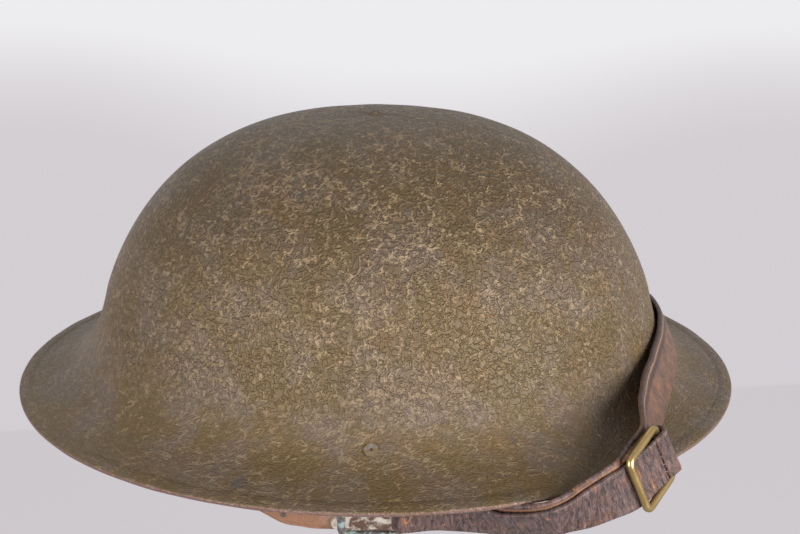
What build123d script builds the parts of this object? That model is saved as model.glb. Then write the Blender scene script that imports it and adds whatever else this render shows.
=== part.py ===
from build123d import *
import math
import os

os.makedirs("parts", exist_ok=True)

# Steel helmet of the flat-brimmed pattern, in millimetres.
# The origin is the middle of the head opening in the plane of the rim, +X is the front and +Z is up.

# Shell, sizes over the outside
rim_half_length = 155.5
rim_half_width = 146.1
bowl_half_length = 122.0
bowl_half_width = 101.8
helmet_height = 114.0
bowl_foot_height = 13.8
flare_top_height = 40.0
brim_rise = 9.0
bowl_forward_shift = 0.8
steel_thickness = 0.9
bowl_side_power = 2.68
bowl_height_power = 1.7
flare_power = 5
rim_overrun_share = 0.2
brim_shares = [1 + rim_overrun_share, 1.0, 0.85, 0.7, 0.56, 0.43, 0.31, 0.2, 0.1]
dome_shares = [1.0, 0.965, 0.92, 0.865, 0.8, 0.72, 0.62, 0.5, 0.37, 0.22, 0.08]

# Folded strip round the rim
binding_thickness = 0.5
binding_leg = 7.0
binding_gap = 0.05

# Rivets, washers and the holes that they pass
hole_gap = 0.05
crown_rivet_radius = 1.6
crown_head_radius = 3.6
crown_head_height = 1.5
crown_clench_radius = 4.0
crown_clench_height = 1.2
crown_washer_radius = 5.5
crown_washer_thickness = 0.8
lug_rivet_radius = 1.5
lug_rivet_bore = 0.7
lug_rivet_head_radius = 2.7
lug_rivet_head_height = 0.7
lug_rivet_seat_gap = 0.2
band_rivet_radius = 1.2
band_rivet_head_radius = 2.5
band_rivet_head_height = 0.6
brad_radius = 0.9
brad_head_radius = 3.0
brad_head_height = 0.7

# Liner: head band, inner leather, crown pieces, net and draw cord
layer_gap = 0.1
band_thickness = 1.6
band_top = 36.0
band_bottom = -40.0
sweatband_thickness = 1.2
sweatband_top = 16.0
sweatband_bottom = -42.0
cross_thickness = 1.4
cross_width = 22.0
cross_tab = 16.0
net_thickness = 0.8
net_opening_radius = 18.0
crown_disc_radius = 22.0
crown_disc_thickness = 2.0
crown_pad_radius = 32.0
crown_pad_thickness = 7.0
pad_hole_radius = 6.0
draw_cord_width = 2.0
draw_cord_radius = 34.0
tab_shares = [0.0, 0.35, 0.7]
liner_shares = [1.0, 0.97, 0.925, 0.87, 0.8, 0.71, 0.6, 0.48, 0.35, 0.2, 0.08]

# Rubber tubes between the head band and the bowl
buffer_count = 12
buffer_radius = 8.5
buffer_bore = 5.5
buffer_top = 34.0
buffer_length = 32.0
buffer_gap = 0.5
brad_height = 10.0
lower_brad_height = -36.0
lower_brad_bearing = 68.4

# Lugs and bails that hold the chin strap
lug_bearing_reach_share = 0.335
lug_width = 14.0
lug_plate_length = 17.0
lug_thickness = 1.2
lug_seat_gap = 0.3
lug_drop = 10.0
bail_wire_radius = 1.5
bail_eye_gap = 0.08
bail_width = 23.0
bail_height = 26.0
bail_corner_radius = 3.0
bail_rest_angle = 12.0

# Chin strap and its slide buckle
strap_width = 19.0
strap_thickness = 2.0
strap_layer_gap = 0.3
strap_wire_gap = 0.3
strap_brim_gap = 0.55
buckle_wire_radius = 1.6
buckle_width = 22.8
buckle_length = 21.4
buckle_corner_radius = 2.6
buckle_flap_share = 0.43
stitch_radius = 0.4
stitch_count = 5
stitch_spread_share = 0.75
stitch_proud = 0.3
far_flap_length = 14.0
far_stitch_share = 0.55
buckle_stitch_share = 0.6

# Every cut runs this far past what it cuts
overrun = 2.0

# Bearings, in degrees
whole_turn = 360
half_turn = whole_turn / 2
quarter_turn = whole_turn / 4


# Outer face of the shell as level ellipses, from below the rim to the crown

foot_height_share = (flare_top_height - bowl_foot_height) / (helmet_height - bowl_foot_height)
foot_spread = (1 - foot_height_share ** bowl_height_power) ** (1 / bowl_side_power)
foot_half_length = bowl_half_length * foot_spread
foot_half_width = bowl_half_width * foot_spread
binding_cover = binding_gap + binding_thickness
steel_half_length = rim_half_length - binding_cover
steel_half_width = rim_half_width - binding_cover
flare_rise = flare_top_height - brim_rise
brim_width = steel_half_width - foot_half_width
brim_length = steel_half_length - foot_half_length


def brim_station(reach):
    """Half length, half width, height and forward shift at a share of the way from the bowl to the rim."""
    inward = 1 - reach
    half_length = foot_half_length + (steel_half_length - foot_half_length) * reach
    half_width = foot_half_width + (steel_half_width - foot_half_width) * reach
    height = brim_rise * inward + flare_rise * inward ** flare_power
    return half_length, half_width, height, bowl_forward_shift * inward


def brim_run(bearing):
    """Level way across the brim from bowl to rim, at a bearing from the front."""
    angle = math.radians(bearing)
    return math.hypot(brim_length * math.cos(angle), brim_width * math.sin(angle))


def brim_slope(reach, bearing=quarter_turn):
    """Rise of the brim for each step inwards, at a reach from bowl to rim."""
    return (brim_rise + flare_power * flare_rise * (1 - reach) ** (flare_power - 1)) / brim_run(bearing)


def dome_station(spread):
    """The same four values on the bowl, where its half sizes are a share of the largest ones."""
    rise_share = (1 - spread ** bowl_side_power) ** (1 / bowl_height_power)
    height = bowl_foot_height + (helmet_height - bowl_foot_height) * rise_share
    return bowl_half_length * spread, bowl_half_width * spread, height, bowl_forward_shift


def normals(stations):
    """Outward unit normal of the profile at each station, as its level and its upright part."""
    result = []
    last = len(stations) - 1
    for index in range(len(stations)):
        before = stations[max(index - 1, 0)]
        after = stations[min(index + 1, last)]
        inward = (before[0] + before[1] - after[0] - after[1]) / 2
        upward = after[2] - before[2]
        length = math.hypot(inward, upward)
        result.append((upward / length, inward / length))
    result[last] = (0, 1)
    return result


def lofted(stations, lift):
    """Solid under the profile, with its face moved outwards along the normal by lift."""
    sections = []
    for (half_length, half_width, height, shift), (level, upright) in zip(stations, normals(stations)):
        grown = lift * level
        plane = Plane(origin=(shift, 0, height + lift * upright))
        sections.append(plane * Ellipse(half_length + grown, half_width + grown))
    return loft(sections)


shell_stations = [brim_station(reach) for reach in brim_shares]
shell_stations += [dome_station(foot_spread * share) for share in dome_shares]
crown_top = shell_stations[-1][2]


def shell_body(lift):
    return lofted(shell_stations, lift)


def level_cylinder(half_length, half_width, low, high):
    return Pos(0, 0, low) * extrude(Ellipse(half_length, half_width), high - low)


def rim_cylinder(growth):
    half_length, half_width = steel_half_length + growth, steel_half_width + growth
    return level_cylinder(half_length, half_width, -helmet_height, helmet_height + overrun)


def wall_half_sizes(height):
    """Half length and half width of the bowl's inner face at a height in the flare."""
    low, high = 0.0, 1.0
    for _ in range(40):
        middle = (low + high) / 2
        if brim_station(middle)[2] > height:
            low = middle
        else:
            high = middle
    half_length, half_width = brim_station(low)[:2]
    level_thickness = steel_thickness * math.hypot(brim_slope(low), 1) / brim_slope(low)
    return half_length - level_thickness, half_width - level_thickness


# Head band and liner dome, sized to leave the rubber tubes their room

inner_length, inner_width = wall_half_sizes(buffer_top)
buffer_room = buffer_radius + buffer_radius + buffer_gap + buffer_gap
band_half_length = inner_length - buffer_room
band_half_width = inner_width - buffer_room
crown_inside = crown_top - steel_thickness
liner_top = crown_inside - crown_washer_thickness - cross_thickness - layer_gap - layer_gap
tab_bottom = band_top - cross_tab


def liner_station(spread):
    rise_share = (1 - spread ** bowl_side_power) ** (1 / bowl_height_power)
    height = band_top + (liner_top - band_top) * rise_share
    return band_half_length * spread, band_half_width * spread, height, 0


def upright_station(height):
    return band_half_length, band_half_width, height, 0


liner_stations = [upright_station(tab_bottom + cross_tab * share) for share in tab_shares]
liner_stations += [liner_station(share) for share in liner_shares]
liner_flat = liner_stations[-1][2]


def liner_layer(upper, lower):
    """Shell between two lifts of the liner dome, above the tabs."""
    return lofted(liner_stations, upper) - lofted(liner_stations, lower)


def oval_column(lift, low, high):
    face = Ellipse(band_half_length + lift, band_half_width + lift)
    return loft([Pos(0, 0, height) * face for height in (low, (low + high) / 2, high)])


def oval_ring(outer_lift, thickness, low, high):
    hollow = oval_column(outer_lift - thickness, low - overrun, high + overrun)
    return oval_column(outer_lift, low, high) - hollow


def upright_pin(radius, low, high):
    return Pos(0, 0, low) * extrude(Circle(radius), high - low)


def band_frame(bearing, height):
    """Plane on the head band's outer face at a bearing, facing outwards."""
    angle = math.radians(bearing)
    point = (band_half_length * math.cos(angle), band_half_width * math.sin(angle), height)
    facing = (band_half_width * math.cos(angle), band_half_length * math.sin(angle), 0)
    return Plane(origin=point, x_dir=(0, 0, 1), z_dir=facing)


def level_pin(bearing, height, radius, inner, outer):
    """Pin square to the head band, from one lift of its outer face to another."""
    return band_frame(bearing, height) * Pos(0, 0, inner) * extrude(Circle(radius), outer - inner)


# Lug frames: the near side is -Y

lug_length, lug_reach, lug_height, lug_shift = brim_station(lug_bearing_reach_share)
lug_slope = brim_slope(lug_bearing_reach_share)
lug_down = Vector(0, -1, -lug_slope).normalized()
lug_outward = Vector(0, -lug_slope, 1).normalized()
lug_point = Vector(0, -lug_reach, lug_height)
lug_plane = Plane(origin=lug_point, x_dir=(1, 0, 0), z_dir=lug_outward)
eye_bore = bail_wire_radius + bail_eye_gap
eye_radius = eye_bore + lug_thickness
eye_centre = lug_point + lug_down * lug_drop - lug_outward * (steel_thickness + lug_seat_gap + eye_radius)
bail_angle = math.radians(bail_rest_angle)
bail_down = Vector(0, math.sin(bail_angle), -math.cos(bail_angle))


def far_side(shape):
    return mirror(shape, Plane.XZ)


def named(name, shape):
    export_step(shape, "parts/" + name + ".step")


# Shell pieces

def make_shell():
    sheet = (shell_body(0) - shell_body(-steel_thickness)) & rim_cylinder(0)
    sheet -= upright_pin(crown_rivet_radius + hole_gap, 0, helmet_height + overrun)
    drill = extrude(Circle(lug_rivet_radius + hole_gap), steel_thickness + overrun + overrun)
    near_hole = lug_plane * Pos(0, 0, -steel_thickness - overrun) * drill
    return sheet - near_hole - far_side(near_hole)


def make_rim_binding():
    under = -steel_thickness - binding_gap
    strip = shell_body(binding_cover) - shell_body(under - binding_thickness)
    strip = strip & (rim_cylinder(binding_cover) - rim_cylinder(-binding_leg))
    hollow = (shell_body(binding_gap) - shell_body(under)) & rim_cylinder(binding_gap)
    return strip - hollow


def make_crown_rivet():
    disc_under = liner_flat - layer_gap - net_thickness - layer_gap - crown_disc_thickness
    clench_low = disc_under - crown_clench_height
    rivet = upright_pin(crown_rivet_radius, clench_low, crown_top + crown_head_height / 2)
    rivet += upright_pin(crown_clench_radius, clench_low, disc_under)
    head_sphere = (crown_head_radius ** 2 + crown_head_height ** 2) / (crown_head_height + crown_head_height)
    cap = Pos(0, 0, crown_top + crown_head_height - head_sphere) * Sphere(head_sphere)
    return rivet + (cap & upright_pin(crown_head_radius, crown_top, crown_top + crown_head_height))


def make_crown_washer():
    hole = upright_pin(crown_rivet_radius + hole_gap, 0, helmet_height)
    return upright_pin(crown_washer_radius, crown_inside - crown_washer_thickness, crown_inside) - hole


# Liner pieces

def make_crown_cross():
    layer = liner_layer(layer_gap + cross_thickness, layer_gap)
    long_strip = Box(rim_half_length + rim_half_length, cross_width, helmet_height + helmet_height)
    cross_strip = Box(cross_width, rim_half_width + rim_half_width, helmet_height + helmet_height)
    cross = layer & (long_strip + cross_strip)
    cross -= upright_pin(crown_rivet_radius + hole_gap, 0, helmet_height)
    for place in band_rivet_places:
        cross -= side_pin(place, band_rivet_radius + hole_gap)
    return cross


def make_head_band():
    holes = [side_pin(place, band_rivet_radius + hole_gap) for place in band_rivet_places]
    for bearing, height in brad_places:
        holes.append(level_pin(bearing, height, brad_radius + hole_gap, -band_thickness - overrun, overrun))
    return oval_ring(0, band_thickness, band_bottom, band_top) - holes


def make_sweatband():
    outer_lift = -band_thickness - layer_gap
    reach = outer_lift - sweatband_thickness - overrun
    holes = [level_pin(bearing, height, brad_radius + hole_gap, reach, 0) for bearing, height in brad_places]
    return oval_ring(outer_lift, sweatband_thickness, sweatband_bottom, sweatband_top) - holes


def make_net():
    layer = liner_layer(-layer_gap, -layer_gap - net_thickness)
    above = level_cylinder(rim_half_length, rim_half_width, band_top + layer_gap, helmet_height)
    return (layer & above) - upright_pin(net_opening_radius, band_top, helmet_height)


def make_crown_disc():
    upper = -layer_gap - net_thickness - layer_gap
    layer = liner_layer(upper, upper - crown_disc_thickness)
    disc = layer & upright_pin(crown_disc_radius, band_top, helmet_height)
    return disc - upright_pin(crown_rivet_radius + hole_gap, 0, helmet_height)


def make_crown_pad():
    upper = -layer_gap - net_thickness - layer_gap - crown_disc_thickness - layer_gap
    layer = liner_layer(upper, upper - crown_pad_thickness)
    pad = layer & upright_pin(crown_pad_radius, band_top, helmet_height)
    return pad - upright_pin(pad_hole_radius, 0, helmet_height)


def make_draw_cord():
    upper = -layer_gap - net_thickness - layer_gap
    layer = liner_layer(upper, upper - draw_cord_width)
    ring = upright_pin(draw_cord_radius + draw_cord_width / 2, band_top, helmet_height)
    return (layer & ring) - upright_pin(draw_cord_radius - draw_cord_width / 2, 0, helmet_height)


def make_rubber_buffers():
    tubes = []
    for bearing in buffer_bearings:
        frame = band_frame(bearing, 0)
        centre = frame.origin + frame.z_dir * (buffer_radius + buffer_gap)
        tube = extrude(Circle(buffer_radius) - Circle(buffer_bore), buffer_length)
        tube = Pos(centre.X, centre.Y, buffer_top - buffer_length) * tube
        tubes.append(tube - level_pin(bearing, brad_height, brad_radius + hole_gap, 0, buffer_radius))
    return Compound(children=tubes)


def make_brads(places, shank_end):
    inner_face = -band_thickness - layer_gap - sweatband_thickness
    brads = []
    head_face = inner_face - layer_gap
    for bearing, height in places:
        shank = level_pin(bearing, height, brad_radius, head_face, shank_end)
        head = level_pin(bearing, height, brad_head_radius, head_face - brad_head_height, head_face)
        brads.append(shank + head)
    return Compound(children=brads)


buffer_bearings = [whole_turn / buffer_count * (step + 1 / 2) for step in range(buffer_count)]
buffer_brad_places = [(bearing, brad_height) for bearing in buffer_bearings]
lower_brad_bearings = [end + side * lower_brad_bearing for end in (0, half_turn) for side in (1, -1)]
lower_brad_places = [(bearing, lower_brad_height) for bearing in lower_brad_bearings]
brad_places = buffer_brad_places + lower_brad_places
band_rivet_height = (tab_bottom + band_top) / 2
band_rivet_places = [(turn * quarter_turn, band_rivet_height, side) for turn in range(4) for side in (1, -1)]


def side_pin(place, radius, inner=-band_thickness - overrun, outer=cross_thickness + overrun):
    """Pin through a tab, a quarter of the tab's width to one side of its middle."""
    bearing, height, side = place
    half_size = band_half_length if bearing % half_turn else band_half_width
    turn = math.degrees(math.asin(side * cross_width / 4 / half_size))
    return level_pin(bearing + turn, height, radius, inner, outer)


def make_band_rivets():
    outside = layer_gap + cross_thickness + layer_gap
    inside = -band_thickness - layer_gap
    rivets = []
    for place in band_rivet_places:
        rivet = side_pin(place, band_rivet_radius, inside, outside)
        rivet += side_pin(place, band_rivet_head_radius, outside, outside + band_rivet_head_height)
        rivet += side_pin(place, band_rivet_head_radius, inside - band_rivet_head_height, inside)
        rivets.append(rivet)
    return Compound(children=rivets)


# Lug, its rivet and the bail, all for the near side

def make_lug():
    top = -steel_thickness - lug_seat_gap
    plate = Box(lug_width, lug_plate_length, lug_thickness)
    plate = Pos(0, lug_plate_length / 2 - lug_drop, top - lug_thickness / 2) * plate
    plate -= Pos(0, 0, top - lug_thickness) * extrude(Circle(lug_rivet_radius + hole_gap), lug_thickness)
    lug = lug_plane * plate
    eye_plane = Plane(origin=eye_centre - Vector(lug_width / 2, 0, 0), z_dir=(1, 0, 0))
    lug += eye_plane * extrude(Circle(eye_radius), lug_width)
    return lug - eye_plane * extrude(Circle(eye_bore), lug_width)


def make_lug_rivet():
    under = -steel_thickness - lug_seat_gap - lug_thickness
    head = extrude(Circle(lug_rivet_head_radius), lug_rivet_head_height)
    shank = extrude(Circle(lug_rivet_radius), lug_rivet_seat_gap - under)
    rivet = Pos(0, 0, under) * shank + Pos(0, 0, lug_rivet_seat_gap) * head
    rivet += Pos(0, 0, under - lug_rivet_head_height) * head
    rivet -= Pos(0, 0, lug_rivet_seat_gap) * extrude(Circle(lug_rivet_bore), lug_rivet_head_height)
    return lug_plane * rivet


def rounded_loop(width, height, corner, wire):
    """Closed wire loop in the XY plane, with rounded corners, about the origin."""
    path = RectangleRounded(width, height, corner).wire()
    return sweep(Plane(origin=path @ 0, z_dir=path % 0) * Circle(wire), path=path)


def make_bail():
    middle = eye_centre + bail_down * (bail_height / 2)
    plane = Plane(origin=middle, x_dir=(1, 0, 0), z_dir=Vector(1, 0, 0).cross(bail_down))
    return plane * rounded_loop(bail_width, bail_height, bail_corner_radius, bail_wire_radius)


# Chin strap: one leather strip from the far bail, over the front of the brim and behind the buckle,
# round the near bail and back to the buckle, where its end folds round the frame's wire

def oval_point(bearing, reach, height):
    """Point at a bearing from the front, with -Y as the near side, and a reach from bowl to rim."""
    half_length, half_width, _, shift = brim_station(reach)
    angle = math.radians(bearing)
    return Vector(shift + half_length * math.cos(angle), -half_width * math.sin(angle), height)


def across_and_face(run, lean):
    """Unit vectors to the strip's lower edge and out of its face, for a run direction and a lean."""
    upright = Vector(0, 0, 1)
    down = (run * run.Z - upright).normalized()
    level = down.cross(run)
    angle = math.radians(lean)
    return down * math.cos(angle) + level * math.sin(angle), level * math.cos(angle) - down * math.sin(angle)


def strip(sections):
    """Leather strip through (centre, across, travel) sections."""
    face = Rectangle(strap_width, strap_thickness)
    return loft([Plane(centre, across, travel) * face for centre, across, travel in sections], ruled=True)


def turned_back(sections):
    """The same sections, met from the other end."""
    return [(centre, across, -travel) for centre, across, travel in reversed(sections)]


def on_far_side(sections):
    """The sections on the far side, for a strip that goes on there in the same sense."""
    return [tuple(Vector(v.X, -v.Y, v.Z) for v in section) for section in sections]


def runs(points, first, last):
    """Direction of travel at each point, with the two ends given."""
    inner = [(after - before).normalized() for before, after in zip(points, points[2:])]
    return [first] + inner + [last]


# Buckle frame: its run and its lean, and the places along and square to it

buckle_bearing, buckle_reach_share, buckle_height_share = 49.4, 1.162, 0.221
buckle_yaw, buckle_pitch, buckle_lean = 55.7, 19.0, 13.8
buckle_centre = oval_point(buckle_bearing, buckle_reach_share, strap_width * buckle_height_share)
level_run = math.cos(math.radians(buckle_pitch))
buckle_run = Vector(
    math.cos(math.radians(buckle_yaw)) * level_run,
    math.sin(math.radians(buckle_yaw)) * level_run,
    math.sin(math.radians(buckle_pitch)),
)
buckle_across, buckle_face = across_and_face(buckle_run, buckle_lean)
buckle_wrap = buckle_wire_radius + strap_wire_gap + strap_thickness / 2
layer_step = strap_thickness + strap_layer_gap
half_buckle = buckle_length / 2


def buckle_point(along, out, up=0):
    return buckle_centre + buckle_run * along + buckle_face * out - buckle_across * up


# Strip beside the near bail, on its side wire

wire_point = eye_centre + bail_down * (bail_height / 2) + Vector(bail_width / 2, 0, 0)
bail_run = Vector(1, 0, 0)
bail_face = bail_down.cross(bail_run)
bail_wrap = bail_wire_radius + strap_wire_gap + strap_thickness / 2


def wrap(centre, run, face, across, radius, start, turn):
    """Sections round a wire, from a start angle through a turn, with the face direction at zero angle."""
    sections = []
    steps = 8
    for step in range(steps + 1):
        angle = math.radians(start + turn * step / steps)
        outward = face * math.cos(angle) + run * math.sin(angle)
        travel = (run * math.cos(angle) - face * math.sin(angle)) * math.copysign(1, turn)
        sections.append((centre + outward * radius, across, travel))
    return sections


# Near stretch, from the bail to the buckle: bearing, reach, height, lean, lift and spread of the two layers
near_bearings = [79.4, 74.0, 69.5, 65.5, 63.1, 60.1, 56.9]
near_reach_shares = [0.498, 0.653, 0.835, 1.075, 1.095, 1.115, 1.145]
near_height_shares = [-0.642, -0.65, -0.675, -0.47, -0.38, -0.279, -0.137]
near_leans = [-20, -32, -42, -37, -28, -16, -4]
near_lift_shares = [0.0, 0.0, -0.05, -0.03, 0.12, 0.21, 0.27]
near_spread_shares = [1.5, 1.1, 1.0, 1.0, 1.0, 1.0, 1.0]
standing_lift_share = 0.3

# Stretch over the front of the brim, where its lower edge rests: bearing, way out from the bowl and lean
front_bearings = [42.5, 36.5, 30.5, 24.5, 18.5, 12.5, 6.0, 0.0]
front_way_shares = [1.884, 1.462, 1.153, 0.952, 0.825, 0.746, 0.698, 0.686]
front_leans = [20, 27, 29, 28, 27, 25, 24, 23]


def near_stretch():
    """Sections of the outer layer and of the standing layer, from the bail to the buckle's first wire."""
    outer_points = [wire_point + bail_face * bail_wrap]
    for bearing, reach, height in zip(near_bearings, near_reach_shares, near_height_shares):
        outer_points.append(oval_point(bearing, reach, height * strap_width))
    outer_points.append(buckle_point(-half_buckle, -buckle_wrap))
    travel = runs(outer_points, bail_run, buckle_run)
    outer = [(outer_points[0], bail_down, bail_run)]
    standing = [(wire_point - bail_face * bail_wrap, bail_down, bail_run)]
    for index, lean in enumerate(near_leans, start=1):
        across, face = across_and_face(travel[index], lean)
        outer.append((outer_points[index], across, travel[index]))
        spread = layer_step * near_spread_shares[index - 1]
        lift = strap_width * near_lift_shares[index - 1]
        standing.append((outer_points[index] - face * spread - across * lift, across, travel[index]))
    return outer, standing


def resting_height(reach, bearing, lean):
    """Height of the strip's lower edge where the edge's inner corner rests on the brim."""
    angle = math.radians(lean)
    cover = binding_cover if (1 - reach) * brim_run(bearing) < binding_leg else 0
    corner_drop = strap_thickness / 2 * (math.sin(angle) + brim_slope(reach, bearing) * math.cos(angle))
    return brim_station(reach)[2] + cover + strap_brim_gap + corner_drop


def front_stretch():
    """Sections of the standing layer from behind the buckle to the middle of the front."""
    lift = strap_width * standing_lift_share
    behind = buckle_wrap + layer_step
    sections = []
    for place in (-half_buckle, 0, half_buckle):
        sections.append((buckle_point(place, -behind, lift), buckle_across, buckle_run))
    edges = []
    for bearing, way, lean in zip(front_bearings, front_way_shares, front_leans):
        reach = way * strap_width / brim_run(bearing)
        edges.append(oval_point(bearing, reach, resting_height(reach, bearing, lean)))
    travel = runs(edges, (edges[1] - edges[0]).normalized(), Vector(0, 1, 0))
    for edge, run, lean in zip(edges, travel, front_leans):
        across, face = across_and_face(run, lean)
        sections.append((edge - across * (strap_width / 2), across, run))
    return sections


def buckle_stretch():
    """Sections from the way under the frame's first wire, round the second one, to the flap's end."""
    first = []
    for place, out in ((-half_buckle, -buckle_wrap), (0, 0)):
        first.append((buckle_point(place, out), buckle_across, buckle_run))
    fold = wrap(buckle_point(half_buckle, 0), buckle_run, buckle_face, buckle_across, buckle_wrap, 0, 180)
    flap_end = buckle_point(half_buckle - buckle_length * buckle_flap_share, -buckle_wrap)
    return first + fold + [(flap_end, buckle_across, -buckle_run)]


def far_flap_stretch():
    """Sections of the end that comes back along the strip from the bail, as made on the near side."""
    start = wire_point + bail_face * bail_wrap
    return [(start + bail_run * far_flap_length, bail_down, -bail_run)]


def make_chinstrap():
    outer, standing = near_stretch()
    held = standing + front_stretch()
    bail_loop = wrap(wire_point, bail_run, bail_face, bail_down, bail_wrap, 0, -180)
    near_half = turned_back(outer + buckle_stretch()) + bail_loop[1:-1] + held
    far_half = far_flap_stretch() + bail_loop + held[1:]
    return strip(near_half + turned_back(on_far_side(far_half))[1:])


def stitch_row(centre, across, face, inner, outer):
    """Row of thread across the strip, from one distance behind the place to another one before it."""
    stitches = []
    for step in range(stitch_count):
        side = (step / (stitch_count - 1) - 1 / 2) * strap_width * stitch_spread_share
        plane = Plane(origin=centre + across * side + face * inner, z_dir=face)
        stitches.append(plane * extrude(Circle(stitch_radius), outer - inner))
    return Compound(children=stitches)


def make_near_stitches():
    reach = buckle_wrap + strap_thickness / 2 + stitch_proud
    place = buckle_point(half_buckle - buckle_length * buckle_flap_share * buckle_stitch_share, 0)
    return stitch_row(place, buckle_across, buckle_face, -buckle_wrap - reach, reach)


def make_far_stitches():
    reach = bail_wrap + strap_thickness / 2 + stitch_proud
    place = wire_point + bail_run * far_flap_length * far_stitch_share
    return far_side(stitch_row(place, bail_down, bail_face, -reach, reach))


def make_buckle():
    plane = Plane(origin=buckle_centre, x_dir=buckle_run, z_dir=buckle_face)
    return plane * rounded_loop(buckle_length, buckle_width, buckle_corner_radius, buckle_wire_radius)


named("shell", make_shell())
named("rim_binding", make_rim_binding())
named("crown_rivet", make_crown_rivet())
named("crown_washer", make_crown_washer())
named("crown_cross", make_crown_cross())
named("head_band", make_head_band())
named("sweatband", make_sweatband())
named("liner_net", make_net())
named("crown_disc", make_crown_disc())
named("crown_pad", make_crown_pad())
named("draw_cord", make_draw_cord())
named("rubber_buffers", make_rubber_buffers())
named("buffer_brads", make_brads(buffer_brad_places, buffer_radius))
named("lower_brads", make_brads(lower_brad_places, layer_gap + brad_head_height))
named("band_rivets", make_band_rivets())
near_lug = make_lug()
near_lug_rivet = make_lug_rivet()
near_bail = make_bail()
named("near_lug", near_lug)
named("far_lug", far_side(near_lug))
named("near_lug_rivet", near_lug_rivet)
named("far_lug_rivet", far_side(near_lug_rivet))
named("near_bail", near_bail)
named("far_bail", far_side(near_bail))
named("chinstrap", make_chinstrap())
named("buckle", make_buckle())
named("near_stitches", make_near_stitches())
named("far_stitches", make_far_stitches())
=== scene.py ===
"""Steel helmet with a wide brim: its paint, leather, wire and thread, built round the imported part."""

import math

import bmesh
import bpy
import numpy as np
from bpy.props import FloatProperty, FloatVectorProperty, IntProperty, PointerProperty
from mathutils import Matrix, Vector


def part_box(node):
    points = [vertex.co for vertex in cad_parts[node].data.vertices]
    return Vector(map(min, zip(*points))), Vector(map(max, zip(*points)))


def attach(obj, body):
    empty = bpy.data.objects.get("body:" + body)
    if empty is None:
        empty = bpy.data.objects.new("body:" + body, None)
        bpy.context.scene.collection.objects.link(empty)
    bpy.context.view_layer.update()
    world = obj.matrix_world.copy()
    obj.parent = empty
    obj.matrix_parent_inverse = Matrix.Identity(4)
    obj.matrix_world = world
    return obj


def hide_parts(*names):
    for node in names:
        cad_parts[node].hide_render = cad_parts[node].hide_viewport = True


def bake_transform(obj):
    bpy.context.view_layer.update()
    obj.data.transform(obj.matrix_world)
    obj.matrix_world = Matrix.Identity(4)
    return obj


bl_info = {
    "name": "Brimmed steel helmet",
    "version": (1, 0, 0),
    "blender": (4, 5, 0),
    "location": "View3D > Sidebar > Helmet",
    "description": "Builds the finished surfaces of a brimmed steel helmet round its packed part",
    "category": "Object",
}

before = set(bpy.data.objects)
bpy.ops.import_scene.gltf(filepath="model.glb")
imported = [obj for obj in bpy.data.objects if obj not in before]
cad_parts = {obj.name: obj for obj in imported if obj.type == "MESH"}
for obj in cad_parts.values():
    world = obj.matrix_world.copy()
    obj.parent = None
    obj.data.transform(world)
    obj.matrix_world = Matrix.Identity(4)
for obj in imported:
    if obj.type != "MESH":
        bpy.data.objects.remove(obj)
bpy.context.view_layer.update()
rim_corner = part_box("rim_binding")[1]

ROOT = "helmet"
MILLIMETRE = 0.001


# Properties

def length(name, description, default):
    """Property for a length in metres."""
    return FloatProperty(name=name, description=description, default=default, unit="LENGTH", precision=5)


def share(name, description, default):
    """Property for a plain number."""
    return FloatProperty(name=name, description=description, default=default, precision=3)


def colour(name, description, default):
    """Property for a colour, from 0 to 1 in red, green and blue."""
    limits = {"size": 3, "min": 0, "max": 1}
    texts = {"name": name, "description": description}
    return FloatVectorProperty(default=default, subtype="COLOR", **texts, **limits)


class HelmetShellSizes(bpy.types.PropertyGroup):
    """Driving sizes of the pressed shell and of the strip round its rim."""

    rim_half_length: length("Rim half length", "From the middle to the rim, fore and aft", rim_corner.x)
    rim_half_width: length("Rim half width", "From the middle to the rim, sideways", rim_corner.y)
    bowl_half_length: length("Bowl half length", "Half length of the bowl's own oval", 0.122)
    bowl_half_width: length("Bowl half width", "Half width of the bowl's own oval", 0.1018)
    height: length("Height", "Crown above the rim", 0.114)
    foot_height: length("Foot height", "Level at which the bowl's oval is widest", 0.0138)
    flare_top: length("Flare top", "Level at which the bowl turns into the brim", 0.040)
    brim_rise: length("Brim rise", "Straight part of the brim's rise", 0.009)
    forward_shift: length("Forward shift", "Bowl's middle ahead of the rim's", 0.0008)
    steel: length("Steel", "Thickness of the sheet", 0.0009)
    cover: length("Strip cover", "Rim strip's outer face above the sheet", 0.00055)
    leg: length("Strip leg", "Width of the rim strip on each face", 0.007)
    side_power: share("Side power", "Roundness of the bowl's side", 2.68)
    height_power: share("Height power", "Roundness of the bowl's top", 1.7)
    flare_power: IntProperty(name="Flare power", description="Sharpness of the flare", default=5)


class HelmetStrapSizes(bpy.types.PropertyGroup):
    """Driving sizes of the chin strap, its bails and its buckle."""

    width: length("Width", "Width of the leather", 0.019)
    thickness: length("Thickness", "Thickness of the leather", 0.002)
    wire_gap: length("Wire gap", "Room between the leather and a wire", 0.0003)
    layer_gap: length("Layer gap", "Room between two layers", 0.0003)
    buckle_wire: length("Buckle wire", "Radius of the buckle's wire", 0.0016)
    buckle_length: length("Buckle length", "Between the two wires that the strap crosses", 0.0214)
    bail_wire: length("Bail wire", "Radius of the bail's wire", 0.0015)
    brim_gap: length("Brim gap", "Room between the leather's edge and the brim", 0.00055)
    bail_width: length("Bail width", "Between the bail's side wires", 0.023)
    bail_height: length("Bail height", "Between the bail's cross wires", 0.026)


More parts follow.
